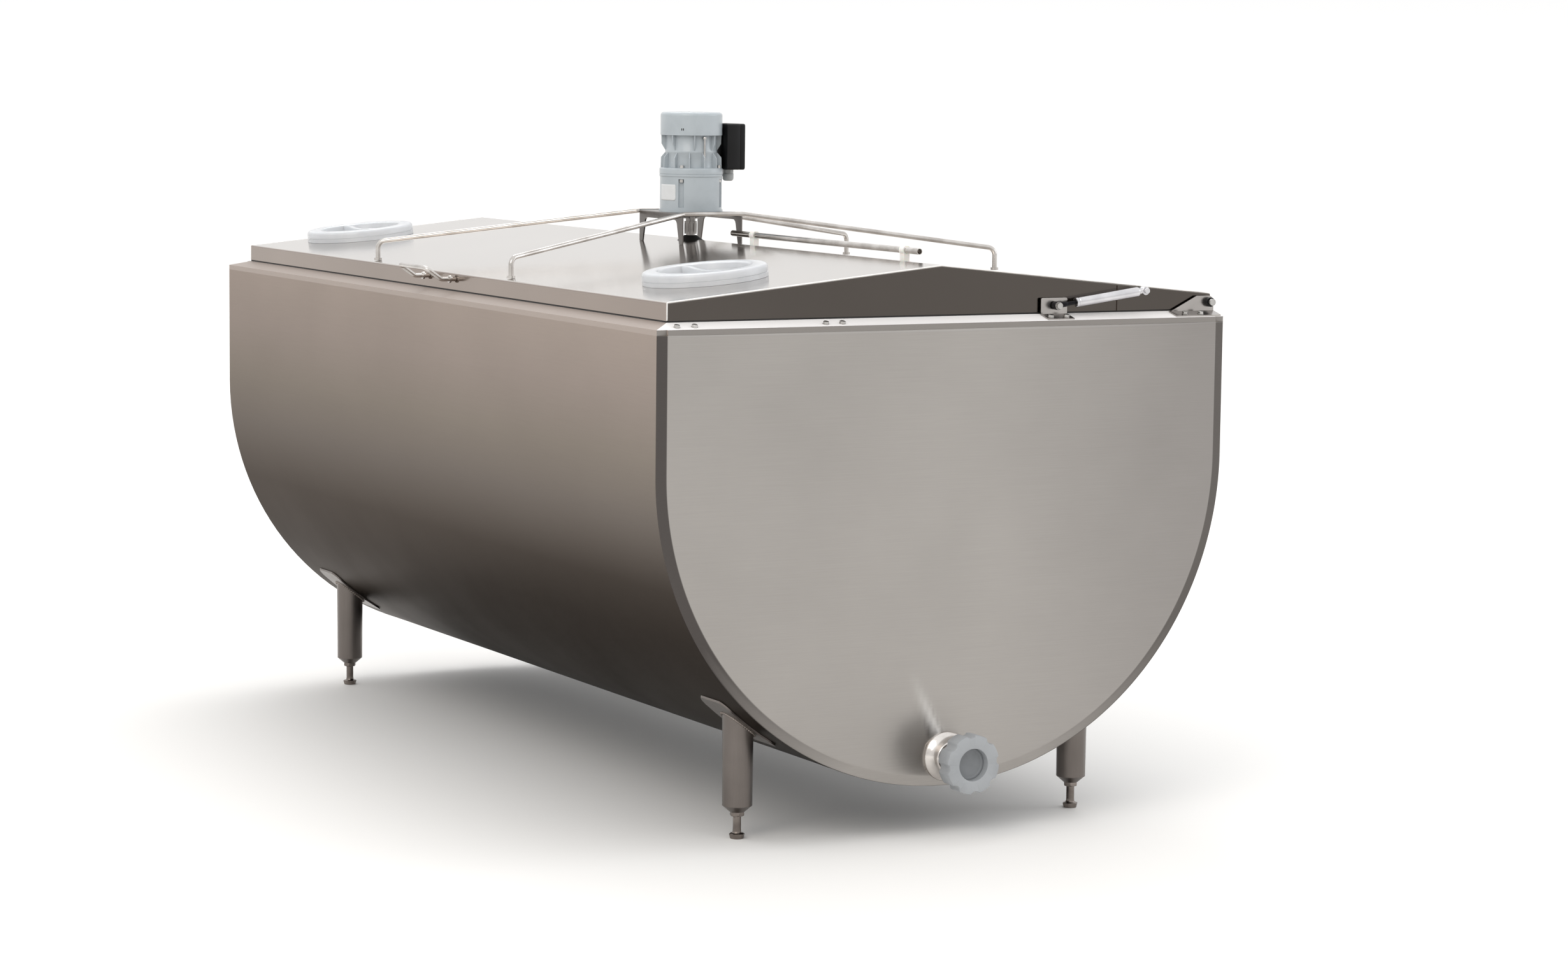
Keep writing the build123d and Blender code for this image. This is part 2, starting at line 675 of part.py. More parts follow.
def inlet_places():
    return {"front": slope_plane(INLET_X, INLET_FRONT_Y), "rear": slope_plane(INLET_X, INLET_REAR_Y)}


def lid_holes(radius_inlet, radius_shaft):
    """What passes through the lid's layers: two inlet necks and the seal tube."""
    holes = [tube_z(0, BRIDGE_Y, radius_shaft, LID_Z - 10, RIDGE_Z + 10)]
    for plane in inlet_places().values():
        holes.append(plane * Cylinder(radius_inlet, 4 * WALL * 2))
    return holes


def lid_skin():
    outside = along_y(lid_face(0), -LID_L, LID_L)
    folds = [e for e in outside.edges() if e.center().Z > LID_Z + 1 and abs(e.center().X) > 5]
    uprights = [e for e in folds if abs(e.tangent_at(0.5).Z) > 0.9]
    tops = [e for e in folds if e not in uprights]
    outside = fillet(tops, LID_EDGE_RADIUS)
    skin = outside - along_y(lid_face(SKIN), -LID_L + SKIN, LID_L - SKIN)
    for hole in lid_holes(NECK_R, SEAL_TUBE_R):
        skin -= hole
    return skin


def lid_pan():
    pan = slab(-LID_LEFT + SKIN, LID_RIGHT - SKIN, -LID_L + SKIN, LID_L - SKIN, LID_Z, LID_Z + SKIN)
    for hole in lid_holes(NECK_R, SEAL_TUBE_R):
        pan -= hole
    return pan


def lid_foam():
    foam = along_y(lid_face(SKIN), -LID_L + SKIN, LID_L - SKIN)
    foam -= slab(-HALF_W, HALF_W, -HALF_L, HALF_L, LID_Z - 1, LID_Z + SKIN)
    for hole in lid_holes(NECK_R, SEAL_TUBE_R):
        foam -= hole
    return foam


def hinge_doublers():
    """Reinforcing plates on the hinge end of both gables, each with its pivot pin."""
    left = LID_RIGHT - SKIN - DOUBLER_LENGTH
    right = LID_RIGHT - SKIN
    drop = 2 * SKIN
    plate = along_y(Plane.XZ * make_face(Polyline(
        (left, LID_Z), (left, lid_top(left) - drop), (right, lid_top(right) - drop),
        (right, LID_Z), (left, LID_Z))), -GABLE_Y, -LID_L)
    return both_ends(plate)


def hinge_pins():
    pin = rod_y(HINGE_X, HINGE_Z, HINGE_PIN_R, -HINGE_Y - BUSH_LENGTH - HINGE_PIN_PROUD,
                -GABLE_Y)
    end = -HINGE_Y - BUSH_LENGTH - HINGE_PIN_PROUD
    cap = rod_y(HINGE_X, HINGE_Z, HINGE_PIN_R + HINGE_CAP_OVER, end - HINGE_CAP_LENGTH, end)
    return both_ends(pin + cap)


def hinge_bushes():
    flange = rod_y(HINGE_X, HINGE_Z, BUSH_R, -HINGE_Y - BUSH_LENGTH, -HINGE_Y)
    sleeve = rod_y(HINGE_X, HINGE_Z, HINGE_PIN_R + BUSH_SLEEVE_WALL, -HINGE_Y,
                   -HINGE_Y + BRACKET_SHEET)
    bore = rod_y(HINGE_X, HINGE_Z, HINGE_PIN_R + RUN_FIT, -HINGE_Y - BUSH_LENGTH - 1, -GABLE_Y)
    return group(both_ends(flange + sleeve - bore).values())


def shoulder_z(y):
    """Height of the end shoulder's slope at a Y station."""
    return BODY_TOP + (HALF_L - abs(y)) * SHOULDER_RISE / SHOULDER_WIDTH


def shoulder_plane(x, setback, side):
    """Work plane on an end slope: its Z is the slope's outward normal."""
    tilt = math.radians(SHOULDER_TILT)
    y = side * (HALF_L - setback)
    return Plane(origin=(x, y, shoulder_z(y)), x_dir=(1, 0, 0),
                 z_dir=(0, side * math.sin(tilt), math.cos(tilt)))


def bracket_foot(x, width, upright_y):
    """A bracket's foot, flat on the front end slope, from near the lip to its upright."""
    plane = shoulder_plane(x, BOLT_SETBACK, -1)
    reach = (HALF_L - BOLT_SETBACK - abs(upright_y)) / math.cos(math.radians(SHOULDER_TILT))
    depth = BOLT_SETBACK - FOOT_MARGIN + reach
    foot_plate = Box(width, depth, BRACKET_SHEET, align=(Align.CENTER, Align.MIN, Align.MIN))
    return plane * Pos(0, FOOT_MARGIN - BOLT_SETBACK, 0) * foot_plate


def hinge_brackets():
    """Bolted foot with a three-cornered ear that carries the hinge bush."""
    low = shoulder_z(HINGE_Y - BRACKET_SHEET) + RUN_FIT
    right = HINGE_X + HINGE_EAR_R
    left = right - HINGE_FOOT_LENGTH
    ear = make_face(Polyline((left, low), (HINGE_X - HINGE_EAR_TOP_LENGTH, HINGE_Z + HINGE_EAR_R),
                             (HINGE_X, HINGE_Z + HINGE_EAR_R), (right, HINGE_Z),
                             (right, low), (left, low)))
    ear = ear + Pos(HINGE_X, HINGE_Z) * Circle(HINGE_EAR_R)
    upright = along_y(Plane.XZ * ear, -HINGE_Y, -HINGE_Y + BRACKET_SHEET)
    bracket = upright + bracket_foot((left + right) / 2, HINGE_FOOT_LENGTH, HINGE_Y - BRACKET_SHEET)
    bracket -= rod_y(HINGE_X, HINGE_Z, HINGE_PIN_R + BUSH_SLEEVE_WALL, -HINGE_Y - 1, -GABLE_Y)
    for x in HINGE_BOLT_X:
        bracket -= shoulder_plane(x, BOLT_SETBACK, -1) * Cylinder(BOLT_SHANK_R, 4 * BOLT_LENGTH)
    return both_ends(bracket)


def strut_brackets():
    """Bolted foot, upright plate and the stud that the strut's rod end turns on."""
    plate_y = -GABLE_Y - STRUT_PLATE_GAP
    half = STRUT_PLATE_WIDTH / 2
    low = shoulder_z(plate_y) + RUN_FIT
    upright = slab(STRUT_ROOT_X - half, STRUT_ROOT_X + half, plate_y - BRACKET_SHEET,
                   plate_y, low, STRUT_PLATE_TOP)
    upright = fillet(upright.edges().filter_by(Axis.Y).group_by(Axis.Z)[-1], STRUT_PLATE_CORNER_R)
    stud_end = -STRUT_Y - STRUT_EYE_LENGTH / 2 - STRUT_STUD_PROUD
    stud = rod_y(STRUT_ROOT_X, STRUT_ROOT_Z, STRUT_STUD_R, stud_end, plate_y)
    nut = along_y(Plane.XZ * Pos(STRUT_ROOT_X, STRUT_ROOT_Z) * hexagon(BOLT_HEAD_ACROSS),
                  stud_end - STRUT_NUT_HEIGHT, stud_end)
    bracket = upright + stud + nut + bracket_foot(STRUT_ROOT_X, STRUT_PLATE_WIDTH, plate_y)
    for x in STRUT_BOLT_X:
        bracket -= shoulder_plane(x, BOLT_SETBACK, -1) * Cylinder(BOLT_SHANK_R, 4 * BOLT_LENGTH)
    return both_ends(bracket)


def shoulder_bolt_places():
    """Bracket bolts on the hinge side and the plugs in the mirrored holes."""
    places = []
    for side in ENDS.values():
        for x in HINGE_BOLT_X + STRUT_BOLT_X:
            places.append(shoulder_plane(x, BOLT_SETBACK, side))
            places.append(shoulder_plane(-x, BOLT_SETBACK, side))
    return places


def shoulder_bolts():
    low = (Align.CENTER, Align.CENTER, Align.MIN)
    bolts = []
    for plane in shoulder_bolt_places():
        seat = BRACKET_SHEET if plane.origin.X > 0 else 0
        bolt = Pos(0, 0, seat) * Cylinder(WASHER_R, WASHER_THICKNESS, align=low)
        bolt += Pos(0, 0, seat + WASHER_THICKNESS) * extrude(hexagon(BOLT_HEAD_ACROSS), BOLT_HEAD_HEIGHT)
        bolt += Pos(0, 0, seat - BOLT_LENGTH) * Cylinder(BOLT_SHANK_R, BOLT_LENGTH + 1, align=low)
        bolts.append(plane * bolt)
    return group(bolts)


# Gas struts

def strut_frame():
    """Work plane at the root pivot whose X runs along the strut."""
    tilt = math.radians(STRUT_ANGLE)
    return Plane(origin=(STRUT_ROOT_X, -STRUT_Y, STRUT_ROOT_Z),
                 x_dir=(math.cos(tilt), 0, math.sin(tilt)), z_dir=(0, -1, 0))


def bar_x(radius, x_from, x_to):
    return Pos(x_from, 0, 0) * Rot(0, 90, 0) * Cylinder(
        radius, x_to - x_from, align=(Align.CENTER, Align.CENTER, Align.MIN))


def strut_eye(bore):
    eye = Cylinder(STRUT_EYE_R, STRUT_EYE_LENGTH)
    return eye - Cylinder(bore, STRUT_EYE_LENGTH + 2)


def strut_rods():
    """Rod end, rod and piston; the piston slides in the tube."""
    bore = STRUT_STUD_R + RUN_FIT
    tip = STRUT_SPAN - STRUT_EYE_R - 2 * STRUT_PISTON_LENGTH
    rod = bar_x(STRUT_ROD_R, STRUT_EYE_R - 1, tip)
    socket = bar_x(STRUT_NECK_R, STRUT_EYE_R - 2, STRUT_EYE_R + STRUT_SOCKET_LENGTH)
    piston = bar_x(STRUT_TUBE_R - STRUT_TUBE_WALL - RUN_FIT, tip - STRUT_PISTON_LENGTH, tip)
    solid = strut_eye(bore) + rod + socket + piston - Cylinder(bore, STRUT_EYE_LENGTH + 2)
    return both_ends(strut_frame() * solid)


def strut_cylinders():
    """Pressure tube with a guide at the rod end and an eye with its nut at the lid end."""
    end = STRUT_SPAN - STRUT_EYE_R - STRUT_EYE_GAP
    tube = bar_x(STRUT_TUBE_R, STRUT_TUBE_START, end)
    guide_end = STRUT_TUBE_START + STRUT_GUIDE_LENGTH
    tube -= bar_x(STRUT_TUBE_R - STRUT_TUBE_WALL, guide_end, end - STRUT_END_WALL)
    tube -= bar_x(STRUT_ROD_R + RUN_FIT, STRUT_TUBE_START - 1, guide_end + 1)
    neck = bar_x(STRUT_NECK_R, end - 1, STRUT_SPAN)
    eye = Pos(STRUT_SPAN, 0, 0) * Cylinder(STRUT_EYE_R, STRUT_EYE_LENGTH)
    nut = Pos(STRUT_SPAN, 0, STRUT_EYE_LENGTH / 2) * extrude(
        hexagon(BOLT_HEAD_ACROSS), STRUT_NUT_HEIGHT)
    return both_ends(strut_frame() * (tube + neck + eye + nut))


def strut_studs():
    """Stud and flange on the lid's gable, stopping just short of the strut's eye."""
    end = -STRUT_Y + STRUT_EYE_LENGTH / 2 + CLEAR
    stud = rod_y(STRUT_LID_X, STRUT_LID_Z, STRUT_STUD_R, end, -GABLE_Y)
    flange = rod_y(STRUT_LID_X, STRUT_LID_Z, STRUT_STUD_R + STRUT_FLANGE_OVER,
                   -GABLE_Y - STRUT_FLANGE_THICKNESS, -GABLE_Y)
    return group(both_ends(stud + flange).values())


# Inlet necks and covers

def inlet_necks():
    """Rolled necks through the lid, trimmed flush with the pan underneath."""
    under = slab(-HALF_W, HALF_W, -HALF_L, HALF_L, 0, LID_Z)
    necks = []
    for plane in inlet_places().values():
        neck = Cylinder(NECK_R, 4 * WALL) - Cylinder(NECK_R - NECK_WALL, 4 * WALL + 2)
        neck = plane * Pos(0, 0, NECK_HEIGHT - 2 * WALL) * neck
        necks.append(neck - under)
    return group(necks)


def inlet_cover(plane):
    """Moulded cover: rounded rim over the neck, dished middle and a grip bar."""
    wall = COVER_WALL
    edge = COVER_EDGE_R
    top = COVER_HEIGHT
    floor = top - COVER_DISH_DEPTH
    step = 1 - math.sqrt(0.5)
    outline = Polyline((0, floor - wall), (COVER_DISH_R + wall, floor - wall),
                       (COVER_DISH_R + wall, top - wall), (COVER_R - wall, top - wall),
                       (COVER_R - wall, 0), (COVER_R, 0), (COVER_R, top - edge))
    outline += ThreePointArc((COVER_R, top - edge), (COVER_R - edge * step, top - edge * step),
                             (COVER_R - edge, top))
    outline += Polyline((COVER_R - edge, top), (COVER_DISH_R + COVER_DISH_EDGE, top), (COVER_DISH_R, top - COVER_DISH_EDGE),
                        (COVER_DISH_R, floor), (0, floor), (0, floor - wall))
    cover = revolve(Plane.XZ * make_face(outline), Axis.Z)
    grip = Pos(0, 0, floor) * Box(COVER_GRIP_WIDTH, 2 * COVER_DISH_R + 2, COVER_DISH_DEPTH - 1,
                                  align=(Align.CENTER, Align.CENTER, Align.MIN))
    return plane * Pos(0, 0, CLEAR) * (cover + grip)


# Motor bridge and stay rods

def bridge_side_face():
    """One side of the bridge: an apron with two tapered legs and round inner corners."""
    half = BRIDGE_LENGTH / 2
    foot_z = lid_top(BRIDGE_WIDTH / 2 - BRIDGE_SHEET) + RUN_FIT
    apron_z = BRIDGE_TOP - BRIDGE_APRON
    sheet = Polyline((-half, foot_z), (-half, BRIDGE_TOP), (half, BRIDGE_TOP), (half, foot_z),
                     (-half, foot_z))
    gap = make_face(Polyline((-half + BRIDGE_LEG_FOOT, foot_z - 1), (-half + BRIDGE_LEG_TOP, apron_z),
                             (half - BRIDGE_LEG_TOP, apron_z), (half - BRIDGE_LEG_FOOT, foot_z - 1),
                             (-half + BRIDGE_LEG_FOOT, foot_z - 1)))
    gap = fillet([v for v in gap.vertices() if v.Y > apron_z - 1], BRIDGE_CORNER_R)
    return make_face(sheet) - gap


def bridge():
    side = Plane(origin=(0, BRIDGE_Y, 0), x_dir=(0, 1, 0), z_dir=(1, 0, 0)) * bridge_side_face()
    wall = extrude(side, BRIDGE_SHEET)
    half = BRIDGE_WIDTH / 2
    plate = slab(-half, half, BRIDGE_Y - BRIDGE_LENGTH / 2, BRIDGE_Y + BRIDGE_LENGTH / 2,
                 BRIDGE_TOP - BRIDGE_SHEET, BRIDGE_TOP)
    channel = plate + Pos(half - BRIDGE_SHEET, 0, 0) * wall + Pos(-half, 0, 0) * wall
    folds = channel.edges().filter_by(Axis.Y).filter_by(
        lambda e: e.center().Z > BRIDGE_TOP - 0.1 and abs(abs(e.center().X) - half) < 0.1)
    channel = fillet(folds, BRIDGE_FOLD_R)
    return channel - tube_z(0, BRIDGE_Y, OUTPUT_SHAFT_R + BRIDGE_BORE_CLEAR,
                            BRIDGE_TOP - BRIDGE_APRON, BRIDGE_TOP + 1)


def stay_rod(side):
    """Round bar from a foot on the left slope, along the bridge's edge, to the right slope."""
    edge_y = BRIDGE_Y + side * (BRIDGE_LENGTH / 2 + ROD_R)
    edge_z = BRIDGE_TOP - BRIDGE_SHEET / 2
    foot_left = lid_top(ROD_LEFT_X) + ROD_R * SLOPE + ROD_FOOT_GAP
    foot_right = lid_top(ROD_RIGHT_X) + ROD_R * SLOPE + ROD_FOOT_GAP
    points = [(ROD_LEFT_X, side * ROD_LEFT_Y, foot_left),
              (ROD_LEFT_X, side * ROD_LEFT_Y, ROD_LEFT_ELBOW_Z),
              (-BRIDGE_WIDTH / 2, edge_y, edge_z), (BRIDGE_WIDTH / 2, edge_y, edge_z),
              (ROD_RIGHT_X, side * ROD_RIGHT_Y, ROD_RIGHT_ELBOW_Z),
              (ROD_RIGHT_X, side * ROD_RIGHT_Y, foot_right)]
    path = FilletPolyline(*points, radius=ROD_BEND_R)
    bar = sweep(Plane(origin=points[0], z_dir=(0, 0, 1)) * Circle(ROD_R), path=path)
    for x, y, z in (points[0], points[-1]):
        bar += tube_z(x, y, ROD_COLLAR_R, z + ROD_COLLAR_GAP, z + ROD_COLLAR_GAP + ROD_COLLAR_HEIGHT)
    return bar


def lid_handle():
    """Bent bar on the left skirt: out, then an S up to the grip."""
    ys = (HANDLE_Y - HANDLE_SPACING / 2, HANDLE_Y + HANDLE_SPACING / 2)
    root, knee, grip = -LID_LEFT, -LID_LEFT - HANDLE_OUT, -LID_LEFT - HANDLE_REACH
    top = HANDLE_Z + HANDLE_RISE
    points = [(root, ys[0], HANDLE_Z), (knee, ys[0], HANDLE_Z), (grip, ys[0], top),
              (grip, ys[1], top), (knee, ys[1], HANDLE_Z), (root, ys[1], HANDLE_Z)]
    path = FilletPolyline(*points, radius=HANDLE_BEND_R)
    bar = sweep(Plane(origin=points[0], z_dir=(-1, 0, 0)) * Circle(HANDLE_R), path=path)
    for y in ys:
        collar = Rot(0, 90, 0) * Cylinder(HANDLE_COLLAR_R, HANDLE_COLLAR_LENGTH)
        bar += Pos(root - 2 * HANDLE_COLLAR_LENGTH, y, HANDLE_Z) * collar
    return bar


# Gearmotor

def gear_housing():
    """Round gear case with a foot flange and four screw channels down its side."""
    case = tube_z(0, BRIDGE_Y, GEAR_R, BRIDGE_TOP, GEAR_TOP)
    case += tube_z(0, BRIDGE_Y, GEAR_FLANGE_R, BRIDGE_TOP, BRIDGE_TOP + GEAR_FLANGE_HEIGHT)
    for angle in SCREW_CHANNEL_ANGLES:
        x = GEAR_R * math.cos(math.radians(angle))
        y = BRIDGE_Y + GEAR_R * math.sin(math.radians(angle))
        case -= tube_z(x, y, SCREW_CHANNEL_R, BRIDGE_TOP + 2 * GEAR_FLANGE_HEIGHT,
                       GEAR_TOP - SCREW_CHANNEL_END)
    bore_top = BRIDGE_TOP + GEAR_HEIGHT / 2
    return case - tube_z(0, BRIDGE_Y, OUTPUT_SHAFT_R + RUN_FIT, BRIDGE_TOP - 1, bore_top + 1)


def rib(profile, angle):
    """One thin radial web from its (radius, height) outline."""
    web = extrude(Plane.XZ * make_face(Polyline(*profile, profile[0])), RIB_THICKNESS / 2, both=True)
    return Pos(0, BRIDGE_Y, 0) * Rot(0, 0, angle) * web


def motor_body():
    """Stator housing: an adapter ring, a waisted body and two sets of radial ribs."""
    body = tube_z(0, BRIDGE_Y, ADAPTER_R, GEAR_TOP, ADAPTER_TOP)
    body += tube_z(0, BRIDGE_Y, NECK_BODY_R, ADAPTER_TOP, COWL_Z)
    root = NECK_BODY_R - RIB_ROOT
    lower = [(root, ADAPTER_TOP - 1), (RIB_R, ADAPTER_TOP - 1), (RIB_R, NECK_Z - LOWER_RIB_SLANT),
             (NECK_BODY_R, NECK_Z), (root, NECK_Z)]
    start = NECK_Z + UPPER_RIB_START
    reach = RIB_R - UPPER_RIB_SETBACK
    upper = [(root, start), (NECK_BODY_R, start), (reach, start + UPPER_RIB_SLANT),
             (reach, COWL_Z), (root, COWL_Z)]
    for i in range(LOWER_RIBS):
        body += rib(lower, i * 360 / LOWER_RIBS)
    for i in range(UPPER_RIBS):
        body += rib(upper, UPPER_RIB_TURN + i * 360 / UPPER_RIBS)
    return body


def fan_cover():
    """Round-shouldered cowl with a ring of air slots in its top."""
    cowl = tube_z(0, BRIDGE_Y, COWL_R, COWL_Z, COWL_Z + COWL_HEIGHT)
    cowl = fillet(cowl.edges().group_by(Axis.Z)[-1], COWL_EDGE_R)
    for i in range(COWL_SLOTS):
        slot = Pos(COWL_R / 2, 0, 0) * Box(COWL_SLOT_LENGTH, COWL_SLOT_WIDTH, 2 * COWL_SLOT_DEPTH)
        cowl -= Pos(0, BRIDGE_Y, COWL_Z + COWL_HEIGHT) * Rot(0, 0, i * 360 / COWL_SLOTS) * slot
    return cowl


def terminal_box():
    """Box base on a saddle against the motor's waist."""
    inner = TERMINAL_REACH - TERMINAL_DEPTH
    half = TERMINAL_WIDTH / 2
    box = slab(inner, TERMINAL_REACH - TERMINAL_LID, BRIDGE_Y - half, BRIDGE_Y + half,
               TERMINAL_LOW, TERMINAL_HIGH)
    box = fillet(box.edges().filter_by(Axis.X), TERMINAL_CORNER_R)
    saddle = slab(0, inner + 1, BRIDGE_Y - half / 2, BRIDGE_Y + half / 2,
                  NECK_Z - SADDLE_BELOW_NECK, COWL_Z - SADDLE_BELOW_COWL)
    clear_of_motor = tube_z(0, BRIDGE_Y, RIB_R + CLEAR, GEAR_TOP, COWL_Z + COWL_HEIGHT + 1)
    clear_of_motor += tube_z(0, BRIDGE_Y, ADAPTER_R + CLEAR, GEAR_TOP, ADAPTER_TOP + CLEAR)
    pad = slab(NECK_BODY_R - TERMINAL_PAD_SINK, RIB_R + TERMINAL_PAD_OVER,
               BRIDGE_Y - half / 3, BRIDGE_Y + half / 3, NECK_Z, NECK_Z + UPPER_RIB_START)
    pad -= tube_z(0, BRIDGE_Y, NECK_BODY_R, ADAPTER_TOP, COWL_Z)
    return box + saddle - clear_of_motor + pad


def terminal_box_lid():
    half = TERMINAL_WIDTH / 2
    cover = slab(TERMINAL_REACH - TERMINAL_LID, TERMINAL_REACH, BRIDGE_Y - half, BRIDGE_Y + half,
                 TERMINAL_LOW, TERMINAL_HIGH)
    cover = fillet(cover.edges().filter_by(Axis.X), TERMINAL_CORNER_R)
    return fillet(cover.faces().sort_by(Axis.X)[-1].edges(), TERMINAL_EDGE_R)


def cable_gland():
    """Hexagon body and dome nut under the terminal box, with its cable bore."""
    top = TERMINAL_LOW
    across = 2 * GLAND_THREAD_R + GLAND_HEX_OVER
    gland = Pos(GLAND_X, BRIDGE_Y, top - GLAND_HEX_HEIGHT) * extrude(hexagon(across), GLAND_HEX_HEIGHT)
    nut = tube_z(GLAND_X, BRIDGE_Y, GLAND_R, top - GLAND_LENGTH, top - GLAND_HEX_HEIGHT)
    nut = fillet(nut.edges().group_by(Axis.Z)[0], GLAND_DOME_R)
    bore = tube_z(GLAND_X, BRIDGE_Y, GLAND_BORE_R, top - GLAND_LENGTH - 1, top - GLAND_FLOOR)
    return gland + nut - bore


def bearing_cap():
    """Flange under the bridge plate that closes the gearbox outlet."""
    top = BRIDGE_TOP - BRIDGE_SHEET
    cap = tube_z(0, BRIDGE_Y, BEARING_CAP_R, top - BEARING_FLANGE_HEIGHT, top)
    cap += tube_z(0, BRIDGE_Y, BEARING_NOSE_R, top - BEARING_CAP_HEIGHT, top)
    return cap - tube_z(0, BRIDGE_Y, OUTPUT_SHAFT_R + RUN_FIT,
                        top - BEARING_CAP_HEIGHT - 1, top + 1)


# Agitator

def output_shaft():
    return tube_z(0, BRIDGE_Y, OUTPUT_SHAFT_R, COUPLING_TOP - COUPLING_UPPER_BORE, BRIDGE_TOP + GEAR_HEIGHT / 2)


def shaft_coupling():
    """Slotted sleeve that joins the gearbox shaft to the agitator shaft."""
    sleeve = tube_z(0, BRIDGE_Y, COUPLING_R, COUPLING_BOTTOM, COUPLING_TOP)
    sleeve -= tube_z(0, BRIDGE_Y, OUTPUT_SHAFT_R, COUPLING_TOP - COUPLING_UPPER_BORE, COUPLING_TOP + 1)
    sleeve -= tube_z(0, BRIDGE_Y, AGITATOR_SHAFT_R, COUPLING_BOTTOM - 1, COUPLING_TOP - COUPLING_UPPER_BORE)
    for i in range(COUPLING_SLOTS):
        groove = Pos(COUPLING_R, 0, 0) * Box(
            2 * COUPLING_SLOT_DEPTH, COUPLING_SLOT_WIDTH,
            COUPLING_TOP - COUPLING_BOTTOM - 2 * COUPLING_SLOT_MARGIN)
        sleeve -= Pos(0, BRIDGE_Y, (COUPLING_TOP + COUPLING_BOTTOM) / 2) * Rot(
            0, 0, i * 360 / COUPLING_SLOTS) * groove
    return sleeve


def agitator_shaft():
    return tube_z(0, BRIDGE_Y, AGITATOR_SHAFT_R, AGITATOR_BOTTOM, COUPLING_TOP - COUPLING_UPPER_BORE)


def agitator_paddle():
    """Hub with two pitched blades whose tips are cut round."""
    middle = AGITATOR_BOTTOM + PADDLE_HUB_HEIGHT / 2
    hub = tube_z(0, 0, PADDLE_HUB_R, -PADDLE_HUB_HEIGHT / 2, PADDLE_HUB_HEIGHT / 2)
    blades = []
    for turn in (0, 180):
        blade = Pos(PADDLE_LENGTH / 2, 0, 0) * RectangleRounded(PADDLE_LENGTH, PADDLE_WIDTH, PADDLE_TIP_R)
        blade = Rot(PADDLE_PITCH, 0, 0) * extrude(blade, PADDLE_THICKNESS / 2, both=True)
        blades.append(Rot(0, 0, turn) * blade)
    paddle = hub + blades - Cylinder(AGITATOR_SHAFT_R, 2 * PADDLE_HUB_HEIGHT)
    return Pos(0, BRIDGE_Y, middle) * paddle


def shaft_seal():
    """Conical lip seal on the lid and its tube down through the foam."""
    top = COUPLING_BOTTOM - SEAL_GAP
    low = RIDGE_Z - SEAL_R * SLOPE
    cone = Pos(0, BRIDGE_Y, low) * Cone(SEAL_R, COUPLING_R, top - low,
                                        align=(Align.CENTER, Align.CENTER, Align.MIN))
    cone -= along_y(lid_face(0), -LID_L, LID_L)
    tube = tube_z(0, BRIDGE_Y, SEAL_TUBE_R, LID_Z, RIDGE_Z + 2)
    return cone + tube - tube_z(0, BRIDGE_Y, AGITATOR_SHAFT_R + RUN_FIT, LID_Z - 1, top + 1)


# Dipstick

def dipstick():
    front = DIPSTICK_REAR_Y - DIPSTICK_LENGTH
    stick = rod_y(DIPSTICK_X, DIPSTICK_Z, DIPSTICK_R, front, DIPSTICK_REAR_Y)
    for y_from, y_to in ((front - 1, front + DIPSTICK_END_BORE),
                         (DIPSTICK_REAR_Y - DIPSTICK_END_BORE, DIPSTICK_REAR_Y + 1)):
        stick -= rod_y(DIPSTICK_X, DIPSTICK_Z, DIPSTICK_END_BORE_R, y_from, y_to)
    return stick


def dipstick_clips():
    """Two open plastic clips that stand on the lid and grip the stick."""
    outer_r = DIPSTICK_R + RUN_FIT + CLIP_WALL
    clips = []
    for distance in CLIP_FROM_END:
        y = DIPSTICK_REAR_Y - distance
        ring = rod_y(DIPSTICK_X, DIPSTICK_Z, outer_r, y - CLIP_LENGTH / 2, y + CLIP_LENGTH / 2)
        ring += slab(DIPSTICK_X - CLIP_FOOT_HALF_WIDTH, DIPSTICK_X + CLIP_FOOT_HALF_WIDTH,
                     y - CLIP_LENGTH / 2, y + CLIP_LENGTH / 2,
                     lid_top(DIPSTICK_X) - 3, DIPSTICK_Z - DIPSTICK_R)
        ring -= along_y(lid_face(0), -LID_L, LID_L)
        ring -= rod_y(DIPSTICK_X, DIPSTICK_Z, DIPSTICK_R + RUN_FIT, y - CLIP_LENGTH, y + CLIP_LENGTH)
        ring -= slab(DIPSTICK_X - CLIP_MOUTH / 2, DIPSTICK_X + CLIP_MOUTH / 2, y - CLIP_LENGTH,
                     y + CLIP_LENGTH, DIPSTICK_Z, DIPSTICK_Z + 2 * outer_r)
        clips.append(ring)
    return group(clips)


